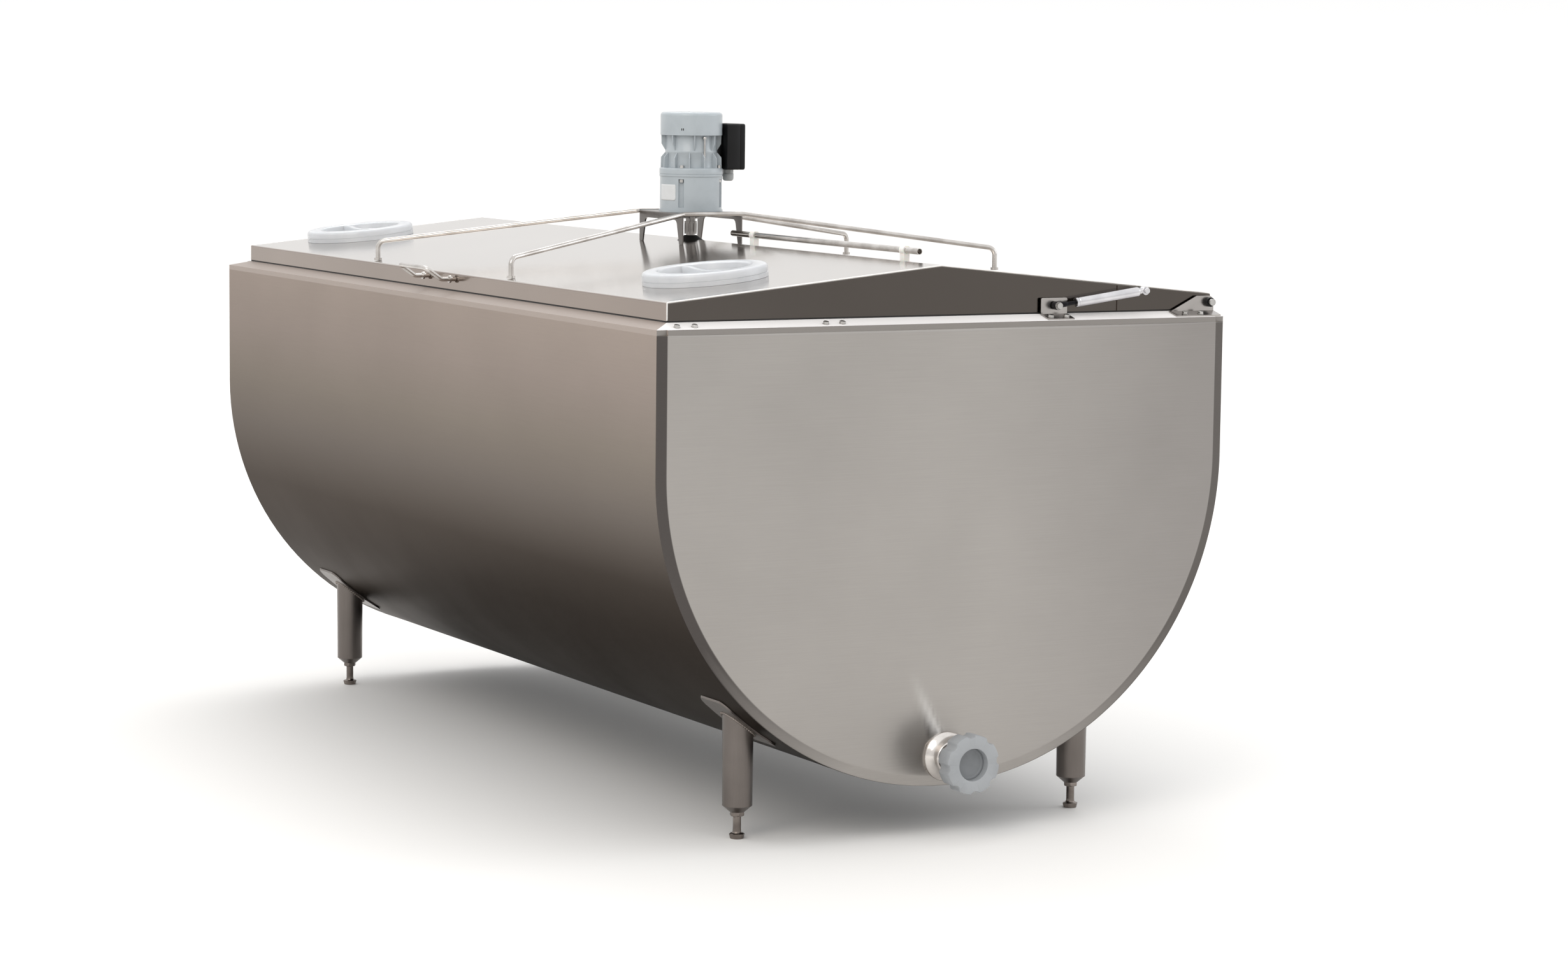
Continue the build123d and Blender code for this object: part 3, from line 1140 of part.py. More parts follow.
def build():
    """All sub-parts by node name."""
    parts = {
        "outer_shell": outer_shell(), "front_panel": end_panel(-1), "rear_panel": end_panel(1),
        "rim_frame": rim_frame(), "rim_gasket": rim_gasket(), "inner_vessel": inner_vessel(),
        "insulation_foam": insulation_foam(), "evaporator_plate": evaporator_plate(),
        "suction_pipe": refrigerant_stub(PIPE_X, SUCTION_R),
        "liquid_pipe": refrigerant_stub(-PIPE_X, LIQUID_R),
        "pipe_grommets": pipe_grommets(), "thermometer_pocket": thermometer_pocket(),
        "leg_pads": leg_pads(), "foot_lock_nuts": foot_lock_nuts(),
        "outlet_pipe": outlet_pipe(), "outlet_collar": outlet_collar(),
        "outlet_blank": outlet_blank(), "outlet_nut": outlet_nut(),
        "lid_skin": lid_skin(), "lid_pan": lid_pan(), "lid_foam": lid_foam(),
        "hinge_bushes": hinge_bushes(), "shoulder_bolts": shoulder_bolts(),
        "strut_studs": strut_studs(), "inlet_necks": inlet_necks(), "bridge": bridge(),
        "stay_rod_front": stay_rod(-1), "stay_rod_rear": stay_rod(1), "lid_handle": lid_handle(),
        "gear_housing": gear_housing(), "motor_body": motor_body(), "fan_cover": fan_cover(),
        "terminal_box": terminal_box(), "terminal_box_lid": terminal_box_lid(),
        "cable_gland": cable_gland(), "bearing_cap": bearing_cap(), "shaft_seal": shaft_seal(),
        "output_shaft": output_shaft(), "shaft_coupling": shaft_coupling(),
        "agitator_shaft": agitator_shaft(), "agitator_paddle": agitator_paddle(),
        "dipstick": dipstick(), "dipstick_clips": dipstick_clips()}
    paired = {"hinge_bracket": hinge_brackets(), "strut_bracket": strut_brackets(),
              "strut_rod": strut_rods(), "strut_cylinder": strut_cylinders()}
    for name, pair in paired.items():
        for end, shape in pair.items():
            parts[f"{name}_{end}"] = shape
    parts["hinge_doublers"] = group(hinge_doublers().values())
    parts["hinge_pins"] = group(hinge_pins().values())
    for end, plane in inlet_places().items():
        parts[f"inlet_cover_{end}"] = inlet_cover(plane)
    parts["legs"] = group(leg(x, y) for x, y in leg_places().values())
    for corner, (x, y) in leg_places().items():
        parts[f"foot_{corner}"] = foot(x, y)
    return parts


os.makedirs("parts", exist_ok=True)
for node, solid in build().items():
    save(node, solid)
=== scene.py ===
import math
import bmesh
import bpy
from mathutils import Matrix, Vector, noise


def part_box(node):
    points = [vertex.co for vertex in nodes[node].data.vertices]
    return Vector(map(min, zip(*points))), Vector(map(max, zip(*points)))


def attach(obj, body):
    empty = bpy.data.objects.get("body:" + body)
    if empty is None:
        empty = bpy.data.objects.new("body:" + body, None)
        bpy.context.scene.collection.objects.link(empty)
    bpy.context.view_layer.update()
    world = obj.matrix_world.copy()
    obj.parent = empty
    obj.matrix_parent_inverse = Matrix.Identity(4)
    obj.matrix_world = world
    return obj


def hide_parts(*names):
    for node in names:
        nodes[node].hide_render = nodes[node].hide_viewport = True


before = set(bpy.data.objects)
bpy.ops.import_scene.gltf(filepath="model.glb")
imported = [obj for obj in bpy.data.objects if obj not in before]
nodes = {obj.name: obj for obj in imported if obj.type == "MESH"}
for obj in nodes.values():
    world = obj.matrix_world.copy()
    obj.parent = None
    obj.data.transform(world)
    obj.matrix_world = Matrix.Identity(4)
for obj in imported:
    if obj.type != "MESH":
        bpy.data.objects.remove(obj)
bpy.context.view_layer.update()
up = Vector((0, 0, 1))
down = Vector((0, 0, -1))
mm = 0.001
print("frame loaded:", len(nodes), "nodes")


# Small helpers for meshes. Profiles are (radius, height) pairs in millimetres

def rows(bm, lines, loop=False, ends=False):
    # quads between neighbouring lines of points, and a face on each end line
    made = [[bm.verts.new(point) for point in line] for line in lines]
    for low, high in zip(made, made[1:]):
        last = len(low) if loop else len(low) - 1
        for i in range(last):
            j = (i + 1) % len(low)
            bm.faces.new((low[i], low[j], high[j], high[i]))
    if ends:
        bm.faces.new(made[0])
        bm.faces.new(made[-1])
    return made


def turned(bm, origin, axis, profile, sides=48, form=None):
    # a profile turned round an axis; form may cut the radius by angle and height
    turn = Vector(axis).to_track_quat("Z", "Y").to_matrix()
    lines = []
    for radius, height in profile:
        line = []
        for i in range(sides):
            angle = 2 * math.pi * i / sides
            r = min(radius, form(angle, height)) if form else radius
            point = Vector((r * math.cos(angle), r * math.sin(angle), height)) * mm
            line.append(Vector(origin) + turn @ point)
        lines.append(line)
    rows(bm, lines, loop=True)


def hexForm(across, start=0):
    # radius of a hexagon at an angle
    def radius(angle, height):
        inside = (angle - start + math.pi / 6) % (math.pi / 3) - math.pi / 6
        return across / 2 / math.cos(inside)
    return radius


def inScene(name, data):
    made = bpy.data.objects.new(name, data)
    bpy.context.scene.collection.objects.link(made)
    return made


def piece(bm, name, material, sharp=35, merge=1e-6):
    # joins the mesh's seams, turns it outwards and makes a smooth object of it
    bmesh.ops.remove_doubles(bm, verts=bm.verts, dist=merge)
    bmesh.ops.dissolve_degenerate(bm, edges=bm.edges, dist=merge)
    bmesh.ops.recalc_face_normals(bm, faces=bm.faces)
    mesh = bpy.data.meshes.new(name)
    bm.to_mesh(mesh)
    bm.free()
    mesh.materials.append(material)
    mesh.polygons.foreach_set("use_smooth", [True] * len(mesh.polygons))
    mesh.set_sharp_from_angle(angle=math.radians(sharp))
    return inScene(name, mesh)


def settle(made):
    # the result of an object's modifiers becomes its plain mesh
    graph = bpy.context.evaluated_depsgraph_get()
    mesh = bpy.data.meshes.new_from_object(made.evaluated_get(graph))
    name = made.name
    bpy.data.objects.remove(made)
    return inScene(name, mesh)


def softened(made, width, segments, sharp=35):
    # rounded edges that keep flat faces flat
    bevel = made.modifiers.new("edge", "BEVEL")
    bevel.width = width * mm
    bevel.segments = segments
    bevel.limit_method = "ANGLE"
    bevel.angle_limit = math.radians(sharp)
    bevel.harden_normals = True
    return settle(made)


def thickened(made, thickness, offset):
    solid = made.modifiers.new("sheet", "SOLIDIFY")
    solid.thickness = thickness * mm
    solid.offset = offset
    return settle(made)


def clamped(value):
    return max(0, min(1, value))


def dress(made, body, slotName, *replaced):
    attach(made, body)
    if replaced:
        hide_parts(*replaced)


# Small helpers for node trees

def addNode(tree, kind, settings=None, links=None):
    # a node with its settings and its incoming links
    node = tree.nodes.new(kind)
    for key, value in (settings or {}).items():
        if key == "stops":
            ramp = node.color_ramp
            while len(ramp.elements) < len(value):
                ramp.elements.new(1)
            for element, (position, code) in zip(ramp.elements, value):
                element.position = position
                element.color = hexColour(code)
        elif isinstance(key, int) or key in node.inputs:
            node.inputs[key].default_value = value
        else:
            setattr(node, key, value)
    for key, source in (links or {}).items():
        tree.links.new(source, node.inputs[key])
    return node


def hexColour(code):
    # an sRGB hex code as a linear colour
    parts = [int(code[i:i + 2], 16) / 255 for i in (1, 3, 5)]
    return tuple(c / 12.92 if c <= 0.04045 else ((c + 0.055) / 1.055) ** 2.4 for c in parts) + (1,)


def newMaterial(name):
    material = bpy.data.materials.new(name)
    material.use_nodes = True
    tree = material.node_tree
    return material, tree, tree.nodes["Principled BSDF"]


def clouds(tree, place, scale, detail, roughness=0.5):
    # soft noise over a place
    return addNode(tree, "ShaderNodeTexNoise", {"Scale": scale, "Detail": detail, "Roughness": roughness},
                   {"Vector": place}).outputs[0]


def ranged(tree, source, low, high, start=0, end=1):
    # a value between low and high, moved to lie between start and end
    return addNode(tree, "ShaderNodeMapRange", {1: low, 2: high, 3: start, 4: end}, {0: source}).outputs[0]


def blended(tree, share, first, second):
    # from a first colour, which is a hex code or comes from a node, to a second one
    mix = addNode(tree, "ShaderNodeMix", {"data_type": "RGBA", 7: hexColour(second)}, {0: share})
    if isinstance(first, str):
        mix.inputs[6].default_value = hexColour(first)
    else:
        tree.links.new(first, mix.inputs[6])
    return mix.outputs[2]


def surfaced(tree, shader, colour, gloss, height, strength, distance):
    # the shader's colour, roughness and bump
    bump = addNode(tree, "ShaderNodeBump", {"Strength": strength, "Distance": distance}, {"Height": height})
    tree.links.new(colour, shader.inputs["Base Color"])
    tree.links.new(gloss, shader.inputs["Roughness"])
    tree.links.new(bump.outputs[0], shader.inputs["Normal"])


# Brushed stainless sheet: rolled, then ground along one way, so it reflects in soft streaks.
# The grain of the real sheet is 0.1 mm; it is drawn coarser so that it shows.
sheetFinish = {"grainDetail": 7, "grainRough": 0.72, "cloudDetail": 3, "cloudFrom": 0.3, "cloudTo": 0.7,
               "bumpDepth": 0.00025}
alongY = (420, 9, 420)
alongX = (7, 420, 520)


def paintedHeightShade(tree, place, heights):
    # a change of colour with height, used to paint shade
    parts = addNode(tree, "ShaderNodeSeparateXYZ", {}, {0: place.outputs["Object"]})
    low, high = heights[0][0], heights[-1][0]
    stops = [((z - low) / (high - low), code) for z, code in heights]
    level = ranged(tree, parts.outputs["Z"], low, high)
    return addNode(tree, "ShaderNodeValToRGB", {"stops": stops}, {0: level}).outputs[0]


def paintedFacingShade(tree, place, colour, faces):
    # painted light and shade: a colour for each way that the sheet faces, standing in for the brighter and
    # darker surroundings that it reflects; an axis marked @ goes by the place along it, which paints shade
    # across the sheet
    ways = addNode(tree, "ShaderNodeSeparateXYZ", {}, {0: place.outputs["Normal"]})
    places = addNode(tree, "ShaderNodeSeparateXYZ", {}, {0: place.outputs["Object"]})
    for (mark, axis), low, high, code in faces:
        source = (places if mark == "@" else ways).outputs[axis]
        sign = -1 if mark == "-" else 1
        lined = addNode(tree, "ShaderNodeMath", {"operation": "MULTIPLY", 1: sign}, {0: source})
        colour = blended(tree, ranged(tree, lined.outputs[0], low, high), colour, code)
    return colour


def plainColour(tree, code):
    plain = tree.nodes.new("ShaderNodeRGB")
    plain.outputs[0].default_value = hexColour(code)
    return plain.outputs[0]


def brushedSteel(name, grain, grainTint, cloudTint, rough, roughRange, bump, colour="#FFFFFF", faces=(),
                 heights=(), worked=None, cloud=3.5, wave=6, metal=1, edge="#FFFFFF"):
    v = sheetFinish
    material, tree, shader = newMaterial(name)
    place = addNode(tree, "ShaderNodeTexCoord")
    stretched = addNode(tree, "ShaderNodeMapping", {"Scale": grain}, {"Vector": place.outputs["Object"]})
    streaks = clouds(tree, stretched.outputs[0], 1, v["grainDetail"], v["grainRough"])
    patches = clouds(tree, place.outputs["Object"], cloud, v["cloudDetail"])
    # painted light and shade: the colour by height, the colours by facing and the crease colour stand in for
    # shade, reflections and a highlight
    if heights:
        colour = paintedHeightShade(tree, place, heights)
    elif faces:
        colour = paintedFacingShade(tree, place, colour, faces)
    else:
        colour = plainColour(tree, colour)
    # painted highlight: a brighter colour mixed in along the panel's crease from a mesh attribute
    if worked:
        share = addNode(tree, "ShaderNodeAttribute", {"attribute_name": "worked"})
        colour = blended(tree, share.outputs["Fac"], colour, worked)
    streakTint = ranged(tree, streaks, 0, 1, 1 - grainTint, 1 + grainTint)
    patchTint = ranged(tree, patches, v["cloudFrom"], v["cloudTo"], 1 - cloudTint, 1 + cloudTint)
    tint = addNode(tree, "ShaderNodeMath", {"operation": "MULTIPLY"}, {0: streakTint, 1: patchTint})
    shade = addNode(tree, "ShaderNodeHueSaturation", {}, {"Value": tint.outputs[0], "Color": colour})
    gloss = ranged(tree, patches, 0, 1, rough - roughRange, rough + roughRange)
    height = addNode(tree, "ShaderNodeMath", {"operation": "MULTIPLY_ADD", 1: wave},
                     {0: patches, 2: streaks})
    surfaced(tree, shader, shade.outputs[0], gloss, height.outputs[0], bump, v["bumpDepth"])
    shader.inputs["Metallic"].default_value = metal
    shader.inputs["Specular Tint"].default_value = hexColour(edge)
    return material


# Painted reflection: the shell's base colour goes dark towards the bottom, standing in for the shadowed
# floor under the tank that its lower half reflects
shellSteel = brushedSteel(
    "brushed stainless shell", grain=alongY, grainTint=0.05, cloudTint=0.035, rough=0.36, roughRange=0.07,
    bump=0.18, edge="#CBC7C4",
    heights=[(0.12, "#0C0B0A"), (0.28, "#1B1816"), (0.38, "#2E2A27"), (0.48, "#45403C"),
             (0.61, "#716B66"), (0.72, "#8B837B"), (0.84, "#9E938C"), (0.95, "#A99D95")])
# Painted shade: the end panel goes darker towards its right side, and its bevels facing -X and +X are
# painted darker for the surroundings they reflect; the crease colour is a painted highlight
panelSteel = brushedSteel(
    "brushed stainless end panel", grain=alongX, grainTint=0.085, cloudTint=0.05, cloud=3, rough=0.37,
    roughRange=0.06, bump=0.2, colour="#A29E9A", worked="#F1F0EE",
    faces=[("@X", 0.1, 0.62, "#928E8B"), ("-X", 0.08, 0.2, "#524E4C"), ("+X", 0.08, 0.2, "#605C59")])
# Painted light and shade: the near-white colour with little metal paints the top strip's bright sheen, and
# the faces toward -X, +X and -Y are painted darker for shade and the darker surroundings that they reflect
shoulderSteel = brushedSteel(
    "folded stainless shoulder", grain=alongY, grainTint=0.03, cloudTint=0.02, rough=0.5, roughRange=0.05,
    bump=0.15, metal=0.1, colour="#F2F0EF",
    faces=[("-X", 0.1, 0.22, "#998D85"), ("+X", 0.1, 0.22, "#C9C4C0"), ("-Y", 0.6, 0.95, "#7B7773")])
# Painted reflection: the lid's sides toward -X and +X and its gables toward -Y and +Y are painted darker,
# standing in for the dark ground that they reflect
lidSteel = brushedSteel(
    "bright annealed stainless lid", grain=alongY, grainTint=0.03, cloudTint=0.05, cloud=2.5, rough=0.13,
    roughRange=0.03, bump=0.1, wave=9, colour="#C6C1BC",
    faces=[("-X", 0.6, 0.9, "#978B83"), ("+X", 0.6, 0.9, "#A8A39F"),
           ("-Y", 0.8, 0.98, "#56514D"), ("+Y", 0.8, 0.98, "#6B6662")])
legSteel = brushedSteel(
    "ground stainless tube", grain=(260, 260, 14), grainTint=0.09, cloudTint=0.08, cloud=14, rough=0.34,
    roughRange=0.1, bump=0.25, colour="#706A66")
vesselSteel = brushedSteel(
    "cold rolled stainless vessel", grain=alongY, grainTint=0.03, cloudTint=0.03, rough=0.26,
    roughRange=0.05, bump=0.12, colour="#C4C1BD")
bracketSteel = brushedSteel(
    "bent stainless bracket", grain=(60, 60, 500), grainTint=0.07, cloudTint=0.06, cloud=25, rough=0.3,
    roughRange=0.08, bump=0.2, colour="#75716E")
plateSteel = brushedSteel(
    "bright bent plate", grain=(60, 60, 400), grainTint=0.06, cloudTint=0.05, cloud=25, rough=0.24,
    roughRange=0.06, bump=0.12, wave=1, colour="#A8A4A1")


# Drawn or turned bar stock: fine rings or lines and a brighter polish than the sheet
barFinish = {"lineDetail": 4, "patch": 22, "patchDetail": 4, "dullFrom": 0.35, "dullTo": 0.7,
             "glossier": 0.05, "duller": 0.08, "bumpDepth": 0.0001}


def polished(name, colour, dull, lineMm, rough, bump=0.12):
    v = barFinish
    material, tree, shader = newMaterial(name)
    place = addNode(tree, "ShaderNodeTexCoord").outputs["Object"]
    lines = clouds(tree, place, 1000 / lineMm, v["lineDetail"])
    patches = clouds(tree, place, v["patch"], v["patchDetail"])
    shade = blended(tree, ranged(tree, patches, v["dullFrom"], v["dullTo"]), colour, dull)
    gloss = ranged(tree, lines, 0, 1, rough - v["glossier"], rough + v["duller"])
    surfaced(tree, shader, shade, gloss, lines, bump, v["bumpDepth"])
    shader.inputs["Metallic"].default_value = 1
    return material


# painted highlight: the near-white colour of the lid's fold edges
foldHighlightSteel = polished("sheared stainless fold", "#F6F5F3", "#E4E2DF", lineMm=0.8, rough=0.3, bump=0.05)
barSteel = polished("polished stainless bar", "#CBC7C3", "#A9A49F", lineMm=0.8, rough=0.17)
boltSteel = polished("bright zinc fastener", "#C9C8C6", "#96938F", lineMm=0.5, rough=0.25)
footSteel = polished("forged stainless foot", "#8C847E", "#5F5853", lineMm=0.7, rough=0.33, bump=0.3)
turnedSteel = polished("turned stainless shaft", "#9A9693", "#6A6663", lineMm=0.6, rough=0.18)
strutChrome = polished("plated strut tube", "#D8D7D9", "#BEBDC0", lineMm=0.9, rough=0.2)
strutBlack = polished("nitrided strut rod", "#2B2A2C", "#1D1C1E", lineMm=0.9, rough=0.24)
copperPipe = polished("drawn copper pipe", "#C9825A", "#8A5238", lineMm=1.1, rough=0.3)
outletSteel = polished("spun stainless collar", "#DAD6D2", "#B9B3AE", lineMm=0.8, rough=0.16)


# Paint, plastic and rubber: a smooth or fine-pebbled skin with slight soiling in patches
skinFinish = {"pebbleDetail": 3, "patch": 18, "patchDetail": 5, "soilFrom": 0.42, "soilTo": 0.68,
              "glossier": 0.06, "duller": 0.1, "bumpDepth": 0.0001, "milkDepth": 0.004}


def skinned(name, colour, soiled, pebbleMm, rough, bump, ior=1.5, clear=0, milk=0, coat=0):
    v = skinFinish
    material, tree, shader = newMaterial(name)
    place = addNode(tree, "ShaderNodeTexCoord").outputs["Object"]
    pebbles = clouds(tree, place, 1000 / pebbleMm, v["pebbleDetail"])
    patches = clouds(tree, place, v["patch"], v["patchDetail"])
    shade = blended(tree, ranged(tree, patches, v["soilFrom"], v["soilTo"]), colour, soiled)
    gloss = ranged(tree, patches, 0, 1, rough - v["glossier"], rough + v["duller"])
    surfaced(tree, shader, shade, gloss, pebbles, bump, v["bumpDepth"])
    shader.inputs["IOR"].default_value = ior
    shader.inputs["Transmission Weight"].default_value = clear
    shader.inputs["Subsurface Weight"].default_value = milk
    shader.inputs["Subsurface Scale"].default_value = v["milkDepth"]
    shader.inputs["Coat Weight"].default_value = coat
    return material


motorPaint = skinned("light grey machine enamel", "#A9B1B6", "#9FA7AC", 1.2, rough=0.3, bump=0.2, coat=0.3)
blackPlastic = skinned("moulded black ABS", "#08080A", "#0F0F11", 0.9, rough=0.42, bump=0.15, ior=1.33)
glandPlastic = skinned("grey nylon gland", "#B4B7B7", "#A2A5A5", 1, rough=0.42, bump=0.15)
nutPlastic = skinned("grey moulded polypropylene nut", "#989B9E", "#8B8E91", 1, rough=0.42, bump=0.2)
blankPlastic = skinned("dark polypropylene blank", "#7A7D80", "#6E7174", 1, rough=0.45, bump=0.2)
coverPlastic = skinned("milky polyethylene cover", "#F6F8FB", "#EBEEF2", 2, rough=0.22, bump=0.1,
                       clear=0.5, ior=1.45)
clipPlastic = skinned("white nylon clip", "#ECEBE7", "#DEDCD6", 1, rough=0.38, bump=0.1, milk=0.3)
# black rubber, also used for the dark plates that paint the shade of the cowl's slots
rubberAndSlotShade = skinned("black EPDM rubber", "#171615", "#211F1E", 0.7, rough=0.62, bump=0.3)
foamFill = skinned("rigid polyurethane foam", "#D9C48B", "#C9B279", 3, rough=0.85, bump=0.8)
labelFilm = skinned("bare polyester label", "#D5D7D8", "#CBCDCE", 2, rough=0.34, bump=0.05)
print("materials made")

nodeMaterials = {
    shellSteel: ["outer_shell"],
    panelSteel: ["front_panel", "rear_panel"],
    shoulderSteel: ["rim_frame"],
    lidSteel: ["lid_skin", "hinge_doublers"],
    legSteel: ["legs", "leg_pads"],
    vesselSteel: ["inner_vessel", "lid_pan", "evaporator_plate", "inlet_necks", "thermometer_pocket"],
    bracketSteel: ["bridge"],
    plateSteel: ["hinge_bracket_front", "hinge_bracket_rear", "strut_bracket_front", "strut_bracket_rear"],
    outletSteel: ["outlet_pipe", "outlet_collar"],
    barSteel: ["stay_rod_front", "stay_rod_rear", "lid_handle", "dipstick"],
    boltSteel: ["shoulder_bolts", "strut_studs", "hinge_pins"],
    footSteel: ["foot_lock_nuts", "foot_fl", "foot_fr", "foot_rl", "foot_rr"],
    turnedSteel: ["bearing_cap", "output_shaft", "shaft_coupling", "agitator_shaft", "agitator_paddle"],
    strutChrome: ["strut_cylinder_front", "strut_cylinder_rear"],
    strutBlack: ["strut_rod_front", "strut_rod_rear"],
    copperPipe: ["suction_pipe", "liquid_pipe"],
    motorPaint: ["gear_housing", "motor_body", "fan_cover"],
    blackPlastic: ["terminal_box", "terminal_box_lid", "hinge_bushes"],
    glandPlastic: ["cable_gland"],
    nutPlastic: ["outlet_nut"],
    blankPlastic: ["outlet_blank"],
    coverPlastic: ["inlet_cover_front", "inlet_cover_rear"],
    clipPlastic: ["dipstick_clips"],
    rubberAndSlotShade: ["rim_gasket", "pipe_grommets", "shaft_seal"],
    foamFill: ["insulation_foam", "lid_foam"],
}
for material, names in nodeMaterials.items():
    for name in names:
        nodes[name].data.materials.clear()
        nodes[name].data.materials.append(material)


# Camera at the photograph's view; the numbers are from the fit of the tank's own edges
cameraFit = {"place": (-3.58715, -7.2260, 1.4355), "yaw": 27.9447, "pitch": 6.2395, "roll": 0.6708,
             "focalPixels": 6097.28, "imageWidth": 2461, "sensor": 36, "farthest": 100}


def makeCamera():
    v = cameraFit
    yaw, pitch, roll = (math.radians(v[k]) for k in ("yaw", "pitch", "roll"))
    ahead = Vector((math.sin(yaw) * math.cos(pitch), math.cos(yaw) * math.cos(pitch), -math.sin(pitch)))
    right = Vector((math.cos(yaw), -math.sin(yaw), 0))
    above = right.cross(ahead)
    sideways = math.cos(roll) * right + math.sin(roll) * above
    above = -math.sin(roll) * right + math.cos(roll) * above
    data = bpy.data.cameras.new("camera")
    data.sensor_width = v["sensor"]
    data.lens = v["focalPixels"] * v["sensor"] / v["imageWidth"]
    data.clip_end = v["farthest"]
    made = inScene("camera", data)
    turn = Matrix((sideways, above, -ahead)).transposed().to_4x4()
    made.matrix_world = Matrix.Translation(v["place"]) @ turn
    bpy.context.scene.camera = made


studio = {"floorSize": 400, "floorColour": "#F1F0EE", "floorRough": 0.7, "skyPower": 1.3,
          "sky": [(0, "#B0ADAA"), (0.5, "#E6E6E6"), (0.53, "#DAD9D8"), (0.6, "#E2E1E0"), (0.7, "#F2F2F2"),
                  (1, "#FAFAFA")],
          "boxes": [("key box", (-5.0, -4.5, 5.2), (0, 0, 0.6), 4.0, 130, "#FFF8F0"),
                    ("back box", (1.5, 4.5, 7.0), (0, 0, 0.9), 4.0, 140, "#FFFFFF"),
                    ("right box", (6.5, -3.0, 3.0), (0, 0, 0.7), 3.0, 50, "#F4F8FF")]}


def makeStudio():
    v = studio
    world = bpy.data.worlds.new("studio")
    world.use_nodes = True
    tree = world.node_tree
    place = addNode(tree, "ShaderNodeTexCoord")
    parts = addNode(tree, "ShaderNodeSeparateXYZ", {}, {0: place.outputs["Generated"]})
    level = ranged(tree, parts.outputs["Z"], -1, 1)
    sky = addNode(tree, "ShaderNodeValToRGB", {"stops": v["sky"]}, {0: level})
    background = tree.nodes["Background"]
    tree.links.new(sky.outputs[0], background.inputs[0])
    background.inputs[1].default_value = v["skyPower"]
    bpy.context.scene.world = world
    half = v["floorSize"] / 2
    bm = bmesh.new()
    rows(bm, [[(-half, -half, 0), (half, -half, 0)], [(-half, half, 0), (half, half, 0)]])
    material, tree, shader = newMaterial("pale floor")
    shader.inputs["Base Color"].default_value = hexColour(v["floorColour"])
    shader.inputs["Roughness"].default_value = v["floorRough"]
    piece(bm, "floor", material)
    for name, spot, aim, size, power, colour in v["boxes"]:
        light = bpy.data.lights.new(name, "AREA")
        light.size = size
        light.energy = power
        light.color = hexColour(colour)[:3]
        turn = (Vector(spot) - Vector(aim)).to_track_quat("Z", "Y").to_matrix().to_4x4()
        inScene(name, light).matrix_world = Matrix.Translation(spot) @ turn
    bpy.context.scene.view_settings.view_transform = "Standard"


makeCamera()
makeStudio()
print("camera and studio set")


# Where the tank is, read from the frame: its middle in metres and its own sizes in millimetres
shellLow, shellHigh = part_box("outer_shell")
middle = (shellLow + shellHigh) / 2
halfSize = (shellHigh - shellLow) / 2
curveZ = (shellLow.z + halfSize.x) / mm
tank = {"radius": round(halfSize.x / mm, 1), "halfLength": round(halfSize.y / mm, 1),
        "top": round(shellHigh.z / mm, 1)}


def at(x, y, z):
    # a point in millimetres from the tank's own middle, in the frame's metres
    return Vector((middle.x + x * mm, middle.y + y * mm, z * mm))


def uOutline(radius, arcSteps, sideSteps):
    # the tank's section from its left top corner round the bottom to its right one
    left = [(-radius, tank["top"] + (curveZ - tank["top"]) * i / sideSteps) for i in range(sideSteps)]
    turns = [math.pi * i / arcSteps for i in range(arcSteps + 1)]
    arc = [(-radius * math.cos(a), curveZ - radius * math.sin(a)) for a in turns]
    right = [(-x, z) for x, z in reversed(left)]
    return left + arc + right


# Outer shell: one bent sheet, which lies in shallow waves between its welded ends

shellSheet = {"sheet": 2, "wave": 0.55, "waveLength": 420, "quietEnd": 90, "stations": 90, "arcSteps": 72,
              "sideSteps": 10}


def shellSink(x, y, z):
    v = shellSheet
    spot = Vector((x, y, z)) / v["waveLength"]
    quiet = min(1, (tank["halfLength"] - abs(y)) / v["quietEnd"], (tank["top"] - z) / v["quietEnd"])
    return v["wave"] * quiet * (0.5 + 0.5 * noise.noise(spot))


def makeShell():
    v = shellSheet
    outline = uOutline(tank["radius"], v["arcSteps"], v["sideSteps"])
    inside = uOutline(tank["radius"] - v["sheet"], v["arcSteps"], v["sideSteps"])
    bm = bmesh.new()
    lines = []
    for i in range(v["stations"] + 1):
        y = tank["halfLength"] * (2 * i / v["stations"] - 1)
        line = []
        for x, z in outline:
            inward = shellSink(x, y, z) / tank["radius"]
            line.append(at(x * (1 - inward), y, z - min(z - curveZ, 0) * inward))
        line += [at(x, y, z) for x, z in reversed(inside)]
        lines.append(line)
    rings = rows(bm, lines, loop=True)
    half = len(outline)
    for end in (rings[0], rings[-1]):
        for j in range(half - 1):
            bm.faces.new((end[j], end[j + 1], end[2 * half - 2 - j], end[2 * half - 1 - j]))
    return piece(bm, "shellSheet", shellSteel)


dress(makeShell(), "tank", "stainless_body", "outer_shell")


# Front panel: a pressed sheet with a bevelled rim, pulled a little out of true at the outlet

panelSheet = {"sheet": 2, "columns": 200, "rows": 130, "faceInset": 22, "faceRise": 5,
              "bevel": [(0, 0), (0.8, 0.35), (2, 0.65), (10, 2.55), (17.6, 4.4), (18.8, 4.72), (20.2, 4.9)],
              "holeR": 33.2, "holeEnd": 39, "outletZ": 150,
              "wave": 0.3, "waveLength": 340, "waveSeed": 7, "quietWidth": 60,
              "creaseFrom": (-84, 330), "creaseTo": (-20, 192), "creaseRise": 3, "creaseWidth": 12,
              "creaseFade": 0.25, "creaseShine": 0.7,
              "dimple": 1.1, "dimpleR": 78, "dimpleWidth": 26, "dimpleFade": 12, "collarR": 47}


